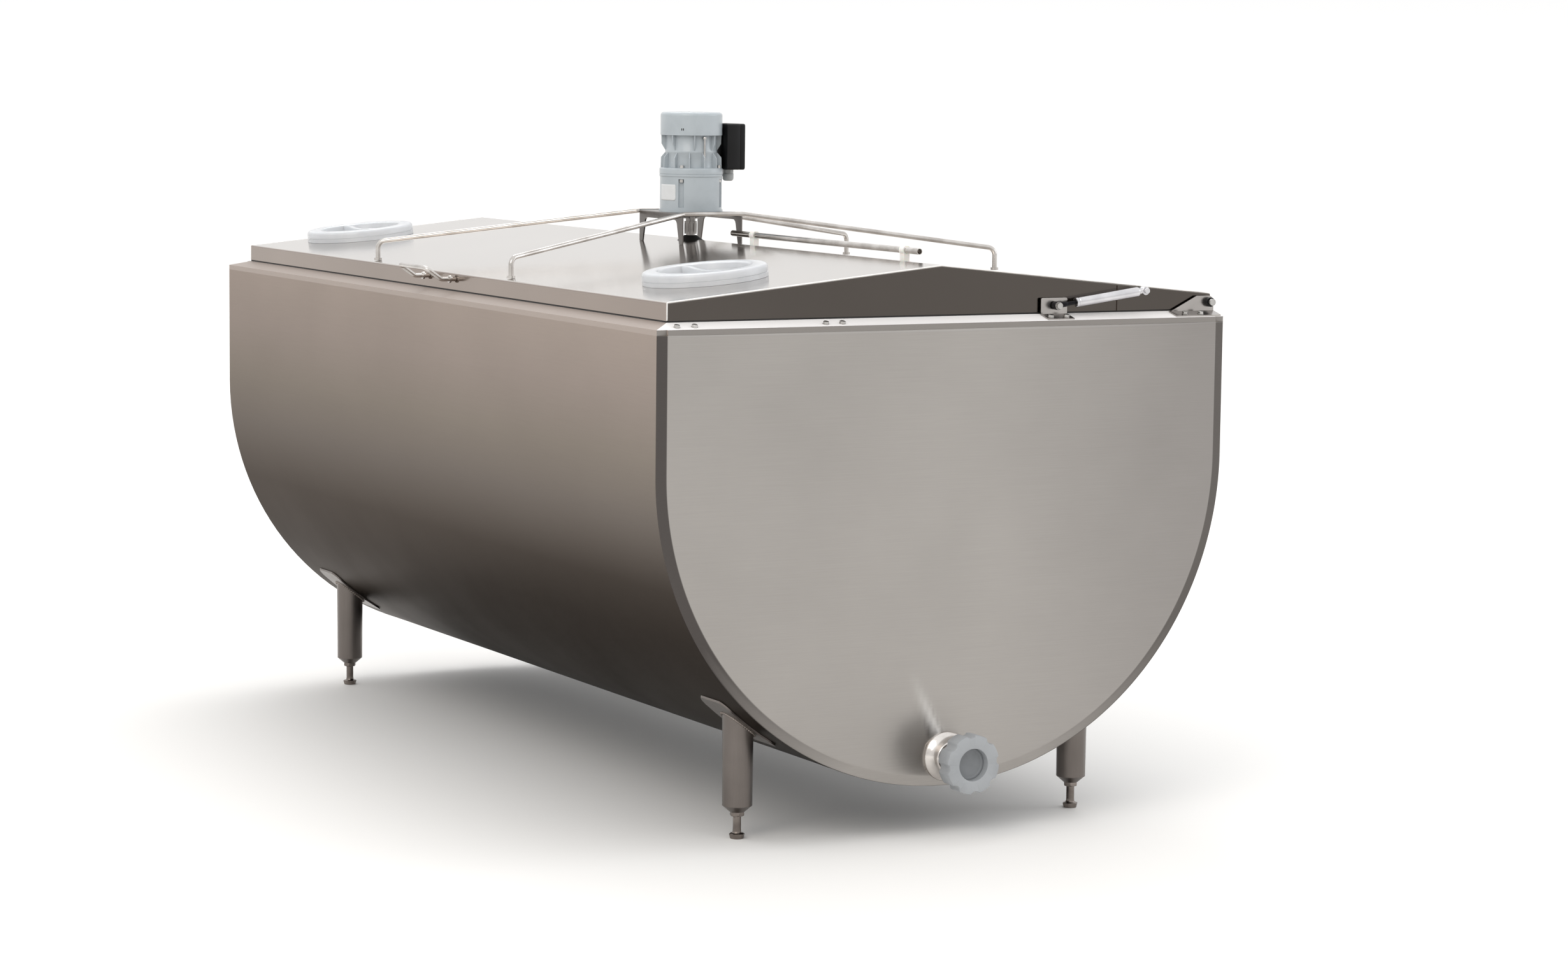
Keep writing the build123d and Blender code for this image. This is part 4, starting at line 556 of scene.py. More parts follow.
def creaseShare(x, z):
    # 1 on the crease that runs down to the outlet, falling to 0 beside it
    v = panelSheet
    ax, az = v["creaseFrom"]
    bx, bz = v["creaseTo"]
    span = math.hypot(bx - ax, bz - az)
    along = ((x - ax) * (bx - ax) + (z - az) * (bz - az)) / span ** 2
    aside = ((x - ax) * (bz - az) - (z - az) * (bx - ax)) / span
    reach = clamped(along) * clamped((1 + v["creaseFade"] - along) / v["creaseFade"])
    return reach * math.exp(-(aside / v["creaseWidth"]) ** 2)


def panelRise(x, z):
    # how far the panel's face stands out of its own plane
    v = panelSheet
    inset = tank["radius"] - math.hypot(x, min(0, z - curveZ))
    quiet = clamped((inset - v["faceInset"]) / v["quietWidth"])
    spot = Vector((x, v["waveSeed"], z)) / v["waveLength"]
    rise = v["wave"] * (noise.noise(spot) - 0.5) * quiet
    rise += v["creaseRise"] * creaseShare(x, z)
    away = math.hypot(x, z - v["outletZ"])
    clear = clamped((away - v["collarR"]) / v["dimpleFade"])
    rise -= v["dimple"] * quiet * clear * math.exp(-((away - v["dimpleR"]) / v["dimpleWidth"]) ** 2)
    return rise


def openForOutlet(bm):
    # points inside the pipe go, and the hole's new edge is drawn in under the collar
    v = panelSheet
    hole = at(0, 0, v["outletZ"])

    def aside(vert):
        return Vector((vert.co.x - hole.x, 0, vert.co.z - hole.z))
    inner = [vert for vert in bm.verts if aside(vert).length < v["holeR"] * mm]
    edge = {corner for vert in inner for face in vert.link_faces for corner in face.verts} - set(inner)
    for vert in edge:
        away = aside(vert)
        if away.length > v["holeEnd"] * mm:
            away *= v["holeEnd"] * mm / away.length
            vert.co.x, vert.co.z = hole.x + away.x, hole.z + away.z
    bmesh.ops.delete(bm, geom=inner, context="VERTS")


def panelFace(bm, flat):
    # the face's grid of points, out to a radius; returns its border from left top to right top
    v = panelSheet
    lines = []
    for i in range(v["columns"] + 1):
        x = -flat * math.cos(math.pi * i / v["columns"])
        low = curveZ - math.sqrt(max(0, flat ** 2 - x ** 2))
        heights = [low + (tank["top"] - low) * j / v["rows"] for j in range(v["rows"] + 1)]
        lines.append([at(x, -tank["halfLength"] - v["faceRise"] - panelRise(x, z), z) for z in heights])
    grid = rows(bm, lines)
    return list(reversed(grid[0])) + [line[0] for line in grid[1:-1]] + list(grid[-1])


def makePanel():
    v = panelSheet
    bm = bmesh.new()
    flat = tank["radius"] - v["faceInset"]
    border = panelFace(bm, flat)
    outside = border
    for inset, rise in reversed(v["bevel"]):
        scale = (tank["radius"] - inset) / flat
        nextRing = []
        for vert in border:
            x = (vert.co.x - middle.x) / mm
            z = vert.co.z / mm
            if z < curveZ:
                z = curveZ + (z - curveZ) * scale
            nextRing.append(bm.verts.new(at(x * scale, -tank["halfLength"] - rise, z)))
        for k in range(len(border) - 1):
            bm.faces.new((outside[k], outside[k + 1], nextRing[k + 1], nextRing[k]))
        outside = nextRing
    openForOutlet(bm)
    # painted highlight: a bright colour on the crease's crest, carried as a mesh attribute
    worked = bm.verts.layers.float.new("worked")
    for vert in bm.verts:
        vert[worked] = v["creaseShine"] * creaseShare((vert.co.x - middle.x) / mm, vert.co.z / mm) ** 2
    return thickened(piece(bm, "panelSheet", panelSteel, sharp=50), v["sheet"], -1)


dress(makePanel(), "tank", "stainless_body", "front_panel")
print("shell and front panel made")


# The lid's gable folds: the sheet's rounded edge in a near-white steel, a painted highlight that draws a
# white line over the gable's painted dark reflection

lidSlope = {"ridge": 1058.08, "tilt": math.radians(5.9)}
lidFold = {"left": -562, "right": 594, "endGap": 1, "end": 1063, "eave": 999.9, "skirt": 968,
           "r": 1.3, "sunk": 0.5, "sides": 10}


def makeFolds():
    v = lidFold
    angles = [2 * math.pi * k / v["sides"] for k in range(v["sides"])]
    bm = bmesh.new()
    for side in (-1, 1):
        y = side * (v["end"] - v["sunk"])
        lines = []
        for x in (v["left"] + v["endGap"], 0, v["right"] - v["endGap"]):
            z = lidSlope["ridge"] - abs(x) * math.tan(lidSlope["tilt"]) - v["sunk"]
            lines.append([at(x, y + v["r"] * math.cos(a), z + v["r"] * math.sin(a)) for a in angles])
        rows(bm, lines, loop=True, ends=True)
        corner = [(0, v["skirt"]), (v["r"], v["skirt"]), (v["r"], v["eave"]), (0, v["eave"])]
        turned(bm, at(v["left"] + v["sunk"], y, 0), up, corner, sides=v["sides"])
    return piece(bm, "lidFolds", foldHighlightSteel, sharp=60)


dress(makeFolds(), "lid", "stainless_body")


# Repeats: copies of one small mesh at points, each turned by its own angles

def repeated(name, unit, spots, material):
    mesh = bpy.data.meshes.new(name)
    mesh.from_pydata([spot for spot, turn in spots], [], [])
    turns = mesh.attributes.new("turn", "FLOAT_VECTOR", "POINT")
    turns.data.foreach_set("vector", [angle for spot, turn in spots for angle in turn])
    host = inScene(name, mesh)
    tree = bpy.data.node_groups.new(name, "GeometryNodeTree")
    tree.interface.new_socket("Points", in_out="INPUT", socket_type="NodeSocketGeometry")
    unitSocket = tree.interface.new_socket("Unit", in_out="INPUT", socket_type="NodeSocketObject")
    finishSocket = tree.interface.new_socket("Finish", in_out="INPUT", socket_type="NodeSocketMaterial")
    tree.interface.new_socket("Copies", in_out="OUTPUT", socket_type="NodeSocketGeometry")
    given = addNode(tree, "NodeGroupInput")
    source = addNode(tree, "GeometryNodeObjectInfo", {}, {"Object": given.outputs["Unit"]})
    turn = addNode(tree, "GeometryNodeInputNamedAttribute", {"data_type": "FLOAT_VECTOR", "Name": "turn"})
    angles = addNode(tree, "FunctionNodeEulerToRotation", {}, {0: turn.outputs["Attribute"]})
    copies = addNode(tree, "GeometryNodeInstanceOnPoints", {},
                     {"Points": given.outputs["Points"], "Instance": source.outputs["Geometry"],
                      "Rotation": angles.outputs[0]})
    real = addNode(tree, "GeometryNodeRealizeInstances", {}, {0: copies.outputs[0]})
    finish = addNode(tree, "GeometryNodeSetMaterial", {},
                     {"Geometry": real.outputs[0], "Material": given.outputs["Finish"]})
    addNode(tree, "NodeGroupOutput", {}, {0: finish.outputs[0]})
    modifier = host.modifiers.new(name, "NODES")
    modifier.node_group = tree
    modifier[unitSocket.identifier] = unit
    modifier[finishSocket.identifier] = material
    made = settle(host)
    bpy.data.objects.remove(unit)
    return made


def turnOf(axis, spin=0):
    # the angles that point a copy's Z along an axis
    turn = Vector(axis).to_track_quat("Z", "Y").to_matrix() @ Matrix.Rotation(spin, 3, "Z")
    return tuple(turn.to_euler())


# Bolts on the end slopes; the ones on the right stand on the bracket's sheet

bolts = {"xs": (520, 555, 221, 255), "setback": 11, "seatZ": 954, "rise": 10, "width": 38,
         "bracketSheet": 2.5, "spin": 0.35, "across": 10,
         "washer": [(0, 0), (5.7, 0), (6, 0.3), (6, 0.9), (5.7, 1.2), (0, 1.2)],
         "head": [(0, 1.2), (6.2, 1.2), (6.2, 4.3), (5.3, 4.85), (4.6, 5.2), (0, 5.2)]}


def boltUnit():
    bm = bmesh.new()
    turned(bm, (0, 0, 0), up, bolts["washer"], sides=36)
    turned(bm, (0, 0, 0), up, bolts["head"], form=hexForm(bolts["across"]))
    return piece(bm, "bolt", boltSteel)


def makeBolts():
    v = bolts
    tilt = math.atan2(v["rise"], v["width"])
    z = v["seatZ"] + v["setback"] * v["rise"] / v["width"]
    spots = []
    for side in (-1, 1):
        axis = Vector((0, side * math.sin(tilt), math.cos(tilt)))
        for k, x in enumerate(v["xs"] + tuple(-x for x in v["xs"])):
            seat = v["bracketSheet"] if x > 0 else 0
            spot = at(x, side * (tank["halfLength"] - v["setback"]), z) + axis * seat * mm
            spots.append((spot, turnOf(axis, v["spin"] * k)))
    return repeated("shoulderBolts", boltUnit(), spots, boltSteel)


dress(makeBolts(), "tank", "bolt_steel", "shoulder_bolts")


# Milk outlet: a flared collar, a scalloped nut and the blank that it traps

outlet = {"z": 150, "faceY": -1105, "scallops": 8, "firstScallop": 5, "nutR": 55, "scallopR": 11,
          "scallopDepth": 5, "scallopSoft": 0.8, "nutBack": 67, "nutFront": 104, "chamfer": 1.6,
          "chamferCut": 0.9,
          "nut": [(33.05, 88.3), (33.05, 67.6), (34, 67), (52.4, 67), (54.2, 67.7), (55, 69.4), (55, 101.6),
                  (54.2, 103.3), (52.4, 104), (31.2, 104), (30.3, 103.6), (30, 102.6), (30, 88.3),
                  (33.05, 88.3)],
          "collar": [(28, -0.8), (46.2, -0.8), (46.6, 0.6), (46.6, 4.5), (45.6, 6.5), (43, 8.6), (39, 12.5),
                     (35.5, 18), (33.4, 23.5), (32.4, 27), (31, 28.6), (28, 29)],
          "blank": [(0, 86.1), (24, 86.1), (25.2, 86.6), (26, 87.6), (27.5, 88), (31.6, 88), (32.5, 87.2),
                    (32.5, 85.4), (0, 85.4)]}


def nutForm(angle, height):
    # the nut's outline: shallow hollows round a circle, cut deeper at both ends for a chamfer
    v = outlet
    step = 2 * math.pi / v["scallops"]
    aside = (angle - math.radians(v["firstScallop"]) + step / 2) % step - step / 2
    far = v["nutR"] + v["scallopR"] - v["scallopDepth"]
    across = far * math.sin(aside)
    if abs(across) >= v["scallopR"] + v["scallopSoft"]:
        return math.inf
    hollow = math.sqrt(max(0, v["scallopR"] ** 2 - across ** 2))
    nearEnd = min(height - v["nutBack"], v["nutFront"] - height)
    return far * math.cos(aside) - hollow - max(0, v["chamfer"] - nearEnd) * v["chamferCut"]


def outletLathe(name, shape, material, sides=120, sharp=60, form=None):
    bm = bmesh.new()
    turned(bm, at(0, outlet["faceY"], outlet["z"]), (0, -1, 0), outlet[shape], sides, form)
    return piece(bm, name, material, sharp)


dress(outletLathe("outletNut", "nut", nutPlastic, 288, 32, nutForm), "outlet_nut", "nut_plastic",
      "outlet_nut")
dress(outletLathe("outletCollar", "collar", outletSteel), "tank", "stainless_body", "outlet_collar")
dress(outletLathe("outletBlank", "blank", blankPlastic), "outlet_blank", "blank_plastic", "outlet_blank")
print("bolts and outlet made")


# Gearmotor: the gear housing and the cowl keep their CAD form; the motor's body is drawn anew, with
# its ribs, screws and small marks

motor = {"y": -28, "ribSheet": 2.5, "ribEase": 0.7, "ribEaseSteps": 2, "lowerRibs": 12, "upperRibs": 8,
         "upperTurn": 25,
         "body": [(0, 1188), (64.9, 1188), (65.5, 1188.6), (65.5, 1192), (64.8, 1192.5), (64.8, 1193.3),
                  (65.5, 1193.8), (65.5, 1202.8), (65.1, 1204), (63.9, 1205.2), (62.3, 1206), (55, 1206),
                  (53.4, 1206.8), (53, 1208.4), (53, 1235.8), (53.8, 1237), (53.8, 1241), (53, 1242.2),
                  (53, 1273), (0, 1273)],
         "lowerRib": [(50, 1205), (63.2, 1205), (62.6, 1227), (53.8, 1237.5), (50, 1237.5)],
         "upperRib": [(50, 1241), (53.8, 1241.5), (62, 1255), (62.5, 1273.3), (50, 1273.3)]}


def motorSpot(angle, radius, z):
    # a place round the motor's axis
    a = math.radians(angle)
    return at(radius * math.cos(a), motor["y"] + radius * math.sin(a), z)


def makeMotorBody():
    bm = bmesh.new()
    turned(bm, at(0, motor["y"], 0), up, motor["body"], sides=144)
    return piece(bm, "motorBody", motorPaint, sharp=40)


def makeRibs(level, turn):
    # thin webs with eased edges, all round the axis
    v = motor
    outline = v[level + "Rib"]
    bm = bmesh.new()
    half = v["ribSheet"] / 2
    sides = [[bm.verts.new((x * mm, y * mm, z * mm)) for x, z in outline] for y in (-half, half)]
    bm.faces.new(sides[0])
    bm.faces.new(reversed(sides[1]))
    for k in range(len(outline)):
        j = (k + 1) % len(outline)
        bm.faces.new((sides[0][k], sides[0][j], sides[1][j], sides[1][k]))
    unit = softened(piece(bm, level + "Rib", motorPaint), v["ribEase"], v["ribEaseSteps"])
    count = v[level + "Ribs"]
    spots = [(at(0, v["y"], 0), (0, 0, turn + 2 * math.pi * k / count)) for k in range(count)]
    return repeated(level + "Ribs", unit, spots, motorPaint)


# Four housing screws in their channels and the four that hold the stator on the ring
motorScrew = {"angles": (45, 135, 225, 315), "places": [(60.5, 1176.6), (59.5, 1205.6)],
              "head": [(2.2, 4.6), (2.2, 6), (4, 6), (4.5, 5.4), (4.5, 0), (0, 0)],
              "socket": [(0, 3), (2.2, 3), (2.2, 6)]}


def makeScrews():
    v = motorScrew
    bm = bmesh.new()
    turned(bm, (0, 0, 0), up, v["head"], sides=36)
    turned(bm, (0, 0, 0), up, v["socket"], sides=6)
    unit = piece(bm, "capScrew", boltSteel)
    spots = [(motorSpot(angle, radius, z), (0, 0, k))
             for radius, z in v["places"] for k, angle in enumerate(v["angles"])]
    return repeated("motorScrews", unit, spots, boltSteel)


# A long screw that clamps the stator, in the open zone between the ribs
tensionRod = {"angle": -88, "r": 57.5, "rodZ": 1222, "headZ": 1265, "across": 7.2,
              "rod": [(0, 0), (2, 0), (2, 44), (0, 44)],
              "head": [(0, 0), (4.2, 0), (4.2, 4.4), (3.4, 5.2), (0, 5.2)]}


def makeTensionRod():
    v = tensionRod
    bm = bmesh.new()
    turned(bm, motorSpot(v["angle"], v["r"], v["rodZ"]), up, v["rod"], sides=20)
    turned(bm, motorSpot(v["angle"], v["r"], v["headZ"]), up, v["head"], sides=24,
           form=hexForm(v["across"]))
    return piece(bm, "tensionRod", boltSteel)


# Thin plates wrapped on the motor: the bare label, and two small dark plates in the cowl's side, painted
# shade that stands in for the cowl's slots
plateSteps = {"along": 20, "up": 12}
label = {"r": 64.05, "from": 171, "to": 214, "low": 1139, "high": 1172, "thick": 0.25, "corner": 2}
cowlSlot = {"r": 64.02, "low": 1282.5, "high": 1287.5, "thick": 0.12, "corner": 0.9}
slotShadePlates = ({**cowlSlot, "from": -135.5, "to": -133.7}, {**cowlSlot, "from": -132.3, "to": -130.5})


def curvedPlate(name, v, material):
    bm = bmesh.new()
    lines = []
    for level in range(plateSteps["up"] + 1):
        z = v["low"] + (v["high"] - v["low"]) * level / plateSteps["up"]
        near = min(z - v["low"], v["high"] - z, v["corner"])
        pull = v["corner"] - math.sqrt(v["corner"] ** 2 - (v["corner"] - near) ** 2)
        low, high = v["from"] + math.degrees(pull / v["r"]), v["to"] - math.degrees(pull / v["r"])
        lines.append([motorSpot(low + (high - low) * k / plateSteps["along"], v["r"], z)
                      for k in range(plateSteps["along"] + 1)])
    rows(bm, lines)
    return thickened(piece(bm, name, material), v["thick"], 1)


dress(makeMotorBody(), "lid", "motor_paint", "motor_body")
dress(makeRibs("lower", 0), "lid", "motor_paint")
dress(makeRibs("upper", math.radians(motor["upperTurn"])), "lid", "motor_paint")
# painted shade: dark rubber plates where the cowl's slots are
for slot in slotShadePlates:
    dress(curvedPlate("cowlSlot", slot, rubberAndSlotShade), "lid", "motor_paint")
dress(makeScrews(), "lid", "bolt_steel")
dress(makeTensionRod(), "lid", "bolt_steel")
dress(curvedPlate("blankLabel", label, labelFilm), "lid", "motor_paint")


# Terminal box on its saddle, with a seam and four lid screws

terminal = {"waist": 51, "inner": 61, "split": 91, "reach": 103, "halfWidth": 45, "low": 1202, "high": 1297,
            "corner": 5, "cornerSteps": 8, "firstEase": 0.3, "saddleInset": 26, "saddleSunk": 1,
            "saddleEdge": 1, "boxEdge": 1.2, "lidEdge": 2.4, "halfSeam": 0.5, "halfSeal": 1,
            "sealInset": 1.4, "sealCorner": 4, "sealEdge": 0.1,
            "screwAside": 37, "screwAbove": 39.5, "screwSunk": 0.2,
            "screw": [(0, 0.5), (2.6, 0.9), (3.2, 0.4), (3.3, 0)]}


def roundedBlock(name, ends, inset, corner, edge, material):
    # a block from end to end along X, inset from the box's sides, with its corners rounded
    v = terminal
    y0, y1 = motor["y"] - v["halfWidth"] + inset, motor["y"] + v["halfWidth"] - inset
    z0, z1 = v["low"] + inset, v["high"] - inset
    first = edge * v["firstEase"]
    bm = bmesh.new()
    lines = []
    for x, ease in ((ends[0], edge), (ends[0] + first, first), (ends[0] + edge, 0),
                    (ends[1] - edge, 0), (ends[1] - first, first), (ends[1], edge)):
        line = []
        for k, (y, z) in enumerate(((y1 - corner, z1 - corner), (y0 + corner, z1 - corner),
                                    (y0 + corner, z0 + corner), (y1 - corner, z0 + corner))):
            for j in range(v["cornerSteps"] + 1):
                a = math.pi / 2 * (k + j / v["cornerSteps"])
                line.append(at(x, y + (corner - ease) * math.cos(a), z + (corner - ease) * math.sin(a)))
        lines.append(line)
    rows(bm, lines, loop=True, ends=True)
    return piece(bm, name, material, sharp=30)


def makeLidScrews():
    v = terminal
    bm = bmesh.new()
    turned(bm, (0, 0, 0), up, v["screw"], sides=24)
    unit = piece(bm, "lidScrew", boltSteel)
    x, z = v["reach"] - v["screwSunk"], (v["low"] + v["high"]) / 2
    spots = [(at(x, motor["y"] + sy * v["screwAside"], z + sz * v["screwAbove"]), turnOf((1, 0, 0)))
             for sy in (-1, 1) for sz in (-1, 1)]
    return repeated("lidScrews", unit, spots, boltSteel)


def makeTerminal():
    # each block's name, ends, inset, corner, edge and material, and the node that it stands for
    v = terminal
    blocks = [("terminalBox", (v["inner"], v["split"] - v["halfSeam"]), 0, v["corner"], v["boxEdge"],
               blackPlastic, "terminal_box"),
              ("terminalSaddle", (v["waist"], v["inner"] + v["saddleSunk"]), v["saddleInset"], v["corner"],
               v["saddleEdge"], blackPlastic),
              ("terminalLid", (v["split"] + v["halfSeam"], v["reach"]), 0, v["corner"], v["lidEdge"],
               blackPlastic, "terminal_box_lid"),
              ("terminalSeal", (v["split"] - v["halfSeal"], v["split"] + v["halfSeal"]), v["sealInset"],
               v["sealCorner"], v["sealEdge"], rubberAndSlotShade)]
    for name, ends, inset, corner, edge, material, *replaced in blocks:
        dress(roundedBlock(name, ends, inset, corner, edge, material), "lid", "black_plastic", *replaced)


makeTerminal()
dress(makeLidScrews(), "lid", "bolt_steel")


# Cable gland under the box: its hexagon and the ribbed cap

gland = {"x": 86, "across": 20, "nut": [(0, 0), (11, 0), (11, 7.2), (10.2, 8), (0, 8)],
         "ribs": 24, "ribDepth": 0.45, "ribEnd": 19,
         "cap": [(9.5, 8), (10.8, 8.2), (11.5, 9), (11.5, 18.8), (11.1, 20.4), (9.8, 22.4), (7.8, 23.7),
                 (5.4, 24), (4.3, 23.6), (4, 22.8), (4, 2.5), (0, 2.5)], "capR": 11.5}


def capForm(angle, height):
    v = gland
    if height >= v["ribEnd"]:
        return math.inf
    return v["capR"] - v["ribDepth"] * (0.5 + 0.5 * math.cos(v["ribs"] * angle))


def makeGland():
    bm = bmesh.new()
    origin = at(gland["x"], motor["y"], terminal["low"])
    turned(bm, origin, down, gland["nut"], form=hexForm(gland["across"]))
    turned(bm, origin, down, gland["cap"], sides=144, form=capForm)
    return piece(bm, "cableGland", glandPlastic, sharp=40)


dress(makeGland(), "lid", "gland_plastic", "cable_gland")
print("motor dressed")


# Inlet covers: blown plastic with a raised grip across the hollow, which dips at its middle

cover = {"x": -352, "front": -797, "rear": 925, "lift": 0.3,
         "profile": [(0, 6), (88, 6), (88.6, 6.6), (88.6, 20), (89.5, 21), (114.2, 21), (115, 20), (115, 0),
                     (118, 0), (118, 7.4), (117.1, 8), (117.1, 8.9), (118, 9.5), (117.9, 17), (116.9, 19.8),
                     (115, 22.2), (112.4, 23.6), (109, 24), (92, 24), (88.6, 23.6), (86.4, 22.2), (85.2, 20),
                     (84.4, 11.4), (83.6, 9.8), (81.8, 9), (0, 9)],
         "grip": [(-6, 8.5), (-6, 20.5), (-5.3, 21.8), (-4, 22.5), (4, 22.5), (5.3, 21.8), (6, 20.5),
                  (6, 8.5)],
         "gripReach": 83.4, "gripSteps": 32, "floor": 9, "dip": 3.5, "halfDip": 55}


def slopeFrame(x, y):
    # the left slope's own frame at a place: Z stands square on the sheet
    t = lidSlope["tilt"]
    origin = at(x, y, lidSlope["ridge"] - abs(x) * math.tan(t))
    turn = Matrix((Vector((math.cos(t), 0, math.sin(t))), Vector((0, 1, 0)),
                   Vector((-math.sin(t), 0, math.cos(t))))).transposed()
    return Matrix.Translation(origin) @ turn.to_4x4()


def makeCover(end):
    v = cover
    bm = bmesh.new()
    turned(bm, (0, 0, v["lift"] * mm), up, v["profile"], sides=160)
    lines = []
    for k in range(v["gripSteps"] + 1):
        y = v["gripReach"] * (2 * k / v["gripSteps"] - 1)
        dip = v["dip"] * max(0, 1 - (abs(y) / v["halfDip"]) ** 2)
        lines.append([Vector((x, y, z - (dip if z > v["floor"] else 0) + v["lift"])) * mm
                      for x, z in v["grip"]])
    rows(bm, lines, ends=True)
    bmesh.ops.transform(bm, matrix=slopeFrame(v["x"], v[end]), verts=bm.verts)
    return piece(bm, "inletCover" + end.capitalize(), coverPlastic, sharp=50)


for end in ("front", "rear"):
    dress(makeCover(end), "cover_" + end, "white_plastic", "inlet_cover_" + end)


# Gas struts: a plated tube with rolled grooves, a black rod and their end fittings

strut = {"root": (240, 980), "lid": (434, 1004.5), "y": 1080, "span": 195.54, "bore": 4.05,
         "tube": [(4.2, 41), (7.6, 41), (8.5, 41.4), (9, 42.4), (9, 46), (8.4, 46.8), (8.4, 47.8), (9, 48.6),
                  (9, 178), (8.6, 180.6), (7.4, 182.6), (5.2, 183.5), (5.2, 189)],
         "rod": [(0, 7), (5.2, 7.4), (5.2, 20.5), (4.6, 22), (4, 22.2), (4, 160)],
         "eye": [(7.4, -6), (8, -5.4), (8, 5.4), (7.4, 6)],
         "lidNut": [(0, 6), (5.9, 6), (5.9, 10), (5.2, 11), (0, 11)], "lidNutAcross": 10,
         "washer": [(0, 6.1), (7, 6.1), (7.3, 6.4), (7.3, 7), (0, 7)],
         "rootNut": [(0, 7), (6.6, 7), (6.6, 11.2), (5.9, 12.3), (0, 12.3)], "rootNutAcross": 11.6}


def strutAxis(side):
    (rx, rz), (lx, lz) = strut["root"], strut["lid"]
    root = at(rx, side * strut["y"], rz)
    return root, (at(lx, side * strut["y"], lz) - root).normalized()


def eyeProfile(bore):
    low, high = strut["eye"][0][1], strut["eye"][-1][1]
    return [(bore, low)] + strut["eye"] + [(bore, high)]


def makeStrutTube(end, side):
    v = strut
    root, axis = strutAxis(side)
    eye = root + axis * v["span"] * mm
    bm = bmesh.new()
    turned(bm, root, axis, v["tube"], sides=64)
    turned(bm, eye, (0, side, 0), eyeProfile(0))
    turned(bm, eye, (0, side, 0), v["lidNut"], form=hexForm(v["lidNutAcross"]))
    return piece(bm, "strutTube" + end.capitalize(), strutChrome)


def makeStrutRod(end, side):
    root, axis = strutAxis(side)
    eye = eyeProfile(strut["bore"])
    bm = bmesh.new()
    turned(bm, root, axis, strut["rod"], sides=40)
    turned(bm, root, (0, side, 0), eye + eye[:1])
    return piece(bm, "strutRod" + end.capitalize(), strutBlack)


def makeStudNut(end, side):
    # washer, nut and stud end on the strut bracket's pivot
    v = strut
    root = strutAxis(side)[0]
    bm = bmesh.new()
    turned(bm, root, (0, side, 0), v["washer"], sides=36)
    turned(bm, root, (0, side, 0), v["rootNut"], form=hexForm(v["rootNutAcross"]))
    return piece(bm, "studNut" + end.capitalize(), boltSteel)


for end, side in (("front", -1), ("rear", 1)):
    dress(makeStrutTube(end, side), "strut_cylinder_" + end, "strut_chrome", "strut_cylinder_" + end)
    dress(makeStrutRod(end, side), "strut_rod_" + end, "strut_rod_black", "strut_rod_" + end)
    dress(makeStudNut(end, side), "tank", "bolt_steel")
print("covers and struts made")


# Legs: weld beads where the tubes meet their pads

legs = {"x": 362, "y": 967}
bead = {"r": 30.5, "padR": 603, "sunk": 0.3, "steps": 180, "sides": 10, "size": 2.2, "ripple": 0.5,
        "ripples": 46, "uneven": 0.5, "unevenLength": 9}


def weldBead(bm, sx, sy):
    v = bead
    route = []
    for k in range(v["steps"]):
        a = 2 * math.pi * k / v["steps"]
        x = legs["x"] + v["r"] * math.cos(a)
        y = legs["y"] + v["r"] * math.sin(a)
        route.append(Vector((sx * x, sy * y, curveZ - math.sqrt(v["padR"] ** 2 - x ** 2) - v["sunk"])))
    turns = [2 * math.pi * j / v["sides"] for j in range(v["sides"])]
    lines = []
    for k, spot in enumerate(route):
        ahead = (route[(k + 1) % v["steps"]] - route[k - 1]).normalized()
        beside = ahead.cross(up).normalized()
        above = beside.cross(ahead)
        size = v["size"] + v["ripple"] * math.sin(2 * math.pi * k * v["ripples"] / v["steps"])
        size += v["uneven"] * noise.noise(spot / v["unevenLength"])
        lines.append([at(*(spot + size * (math.cos(b) * beside + math.sin(b) * above))) for b in turns])
    rows(bm, lines + [lines[0]], loop=True)


def makeWeldBeads():
    bm = bmesh.new()
    for sx in (-1, 1):
        for sy in (-1, 1):
            weldBead(bm, sx, sy)
    return piece(bm, "weldBeads", footSteel)


# Levelling feet: a forged hexagon, a spindle with a cut thread that fades in above it, and lock nuts

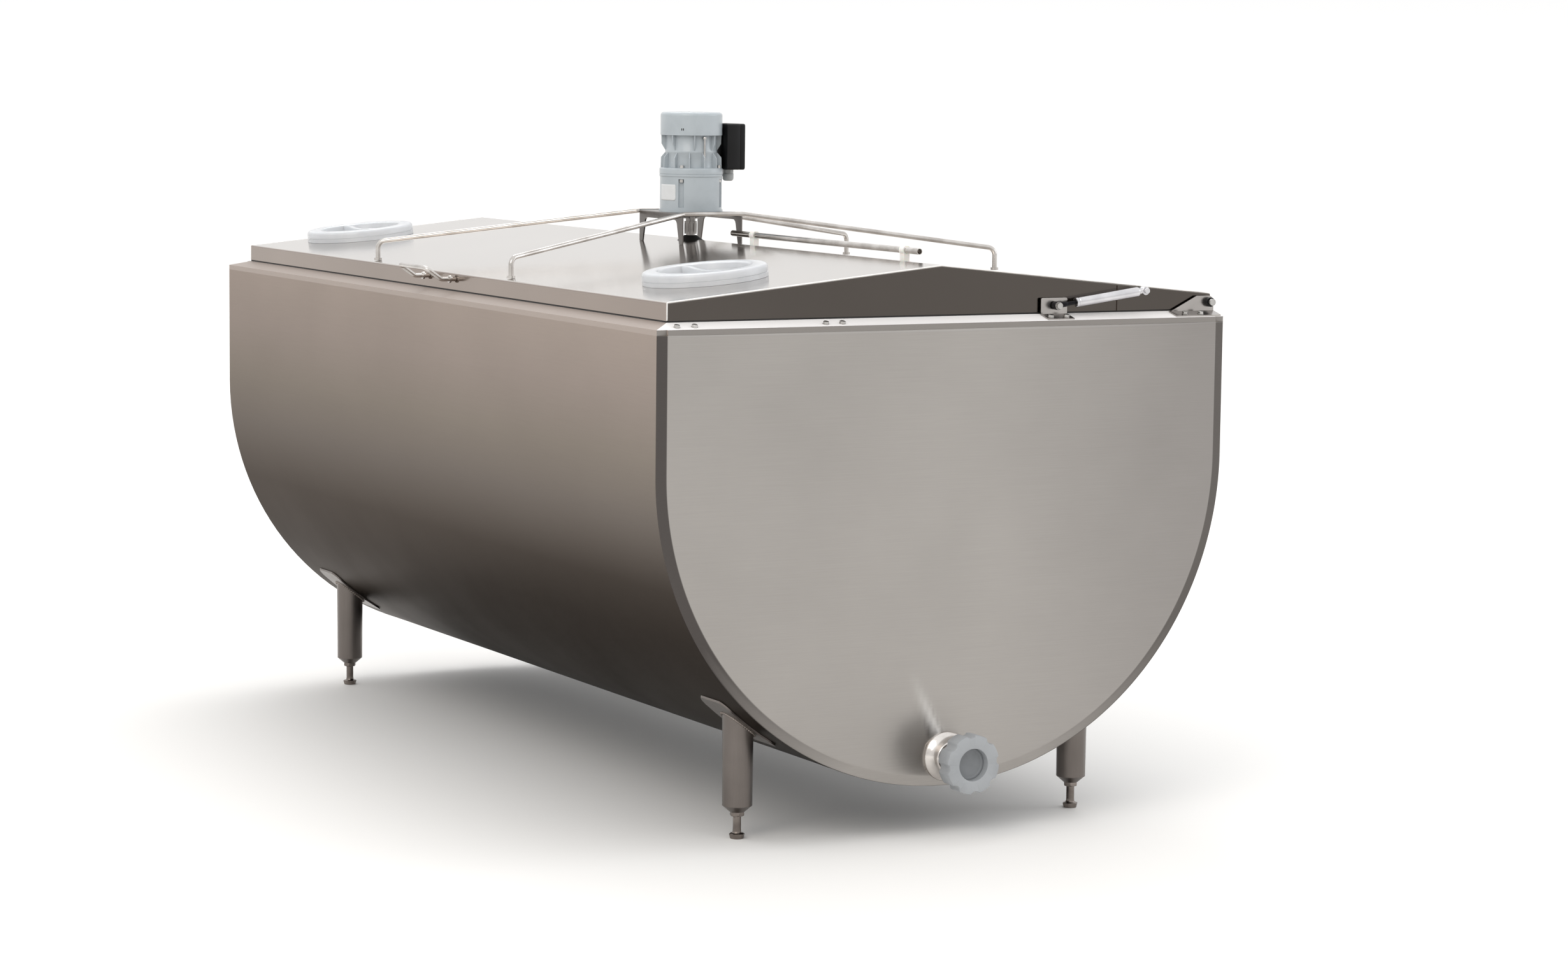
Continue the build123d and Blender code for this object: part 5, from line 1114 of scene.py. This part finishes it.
foot = {"base": [(0, 0), (11.8, 0), (12.6, 0.5), (16, 7.5), (14.6, 9), (12.2, 10), (9.5, 10.6), (8.2, 12.6),
                 (8, 14)], "across": 26, "turn": 0.3,
        "spindleR": 8, "threadLow": 14, "threadHigh": 122, "pitch": 2, "depth": 0.6, "sides": 28,
        "fadeLines": 4,
        "nut": [(8.2, 42), (11.2, 42), (12.6, 42.7), (14.5, 43.6), (14.5, 49), (13, 49.9), (8.2, 49.9)],
        "nutAcross": 24, "nutTurns": (0.4, 0.9)}


def makeFoot(corner, sx, sy):
    v = foot
    origin = at(sx * legs["x"], sy * legs["y"], 0)
    bm = bmesh.new()
    turned(bm, origin, up, v["base"], form=hexForm(v["across"], v["turn"]))
    lines = []
    for k in range(int((v["threadHigh"] - v["threadLow"]) / v["pitch"] * 2) + 1):
        z = v["threadLow"] + k * v["pitch"] / 2
        line = []
        for j in range(v["sides"]):
            share = j / v["sides"]
            crest = abs((z / v["pitch"] - share) % 1 - 0.5) * 2
            r = v["spindleR"] - v["depth"] * crest * min(1, k / v["fadeLines"])
            a = 2 * math.pi * share
            line.append(origin + Vector((r * math.cos(a), r * math.sin(a), z)) * mm)
        lines.append(line)
    rows(bm, lines, loop=True)
    return piece(bm, "foot" + corner.upper(), footSteel)


def makeLockNuts():
    v = foot
    bm = bmesh.new()
    turned(bm, (0, 0, 0), up, v["nut"], form=hexForm(v["nutAcross"]))
    unit = piece(bm, "lockNut", footSteel)
    spots = [(at(sx * legs["x"], sy * legs["y"], 0), (0, 0, v["nutTurns"][0] * sx + v["nutTurns"][1] * sy))
             for sx in (-1, 1) for sy in (-1, 1)]
    return repeated("lockNuts", unit, spots, footSteel)


dress(makeWeldBeads(), "tank", "bolt_steel")
dress(makeLockNuts(), "tank", "bolt_steel", "foot_lock_nuts")
for corner, sx, sy in (("fl", -1, -1), ("fr", 1, -1), ("rl", -1, 1), ("rr", 1, 1)):
    dress(makeFoot(corner, sx, sy), "foot_" + corner, "bolt_steel", "foot_" + corner)
print("legs and feet dressed")
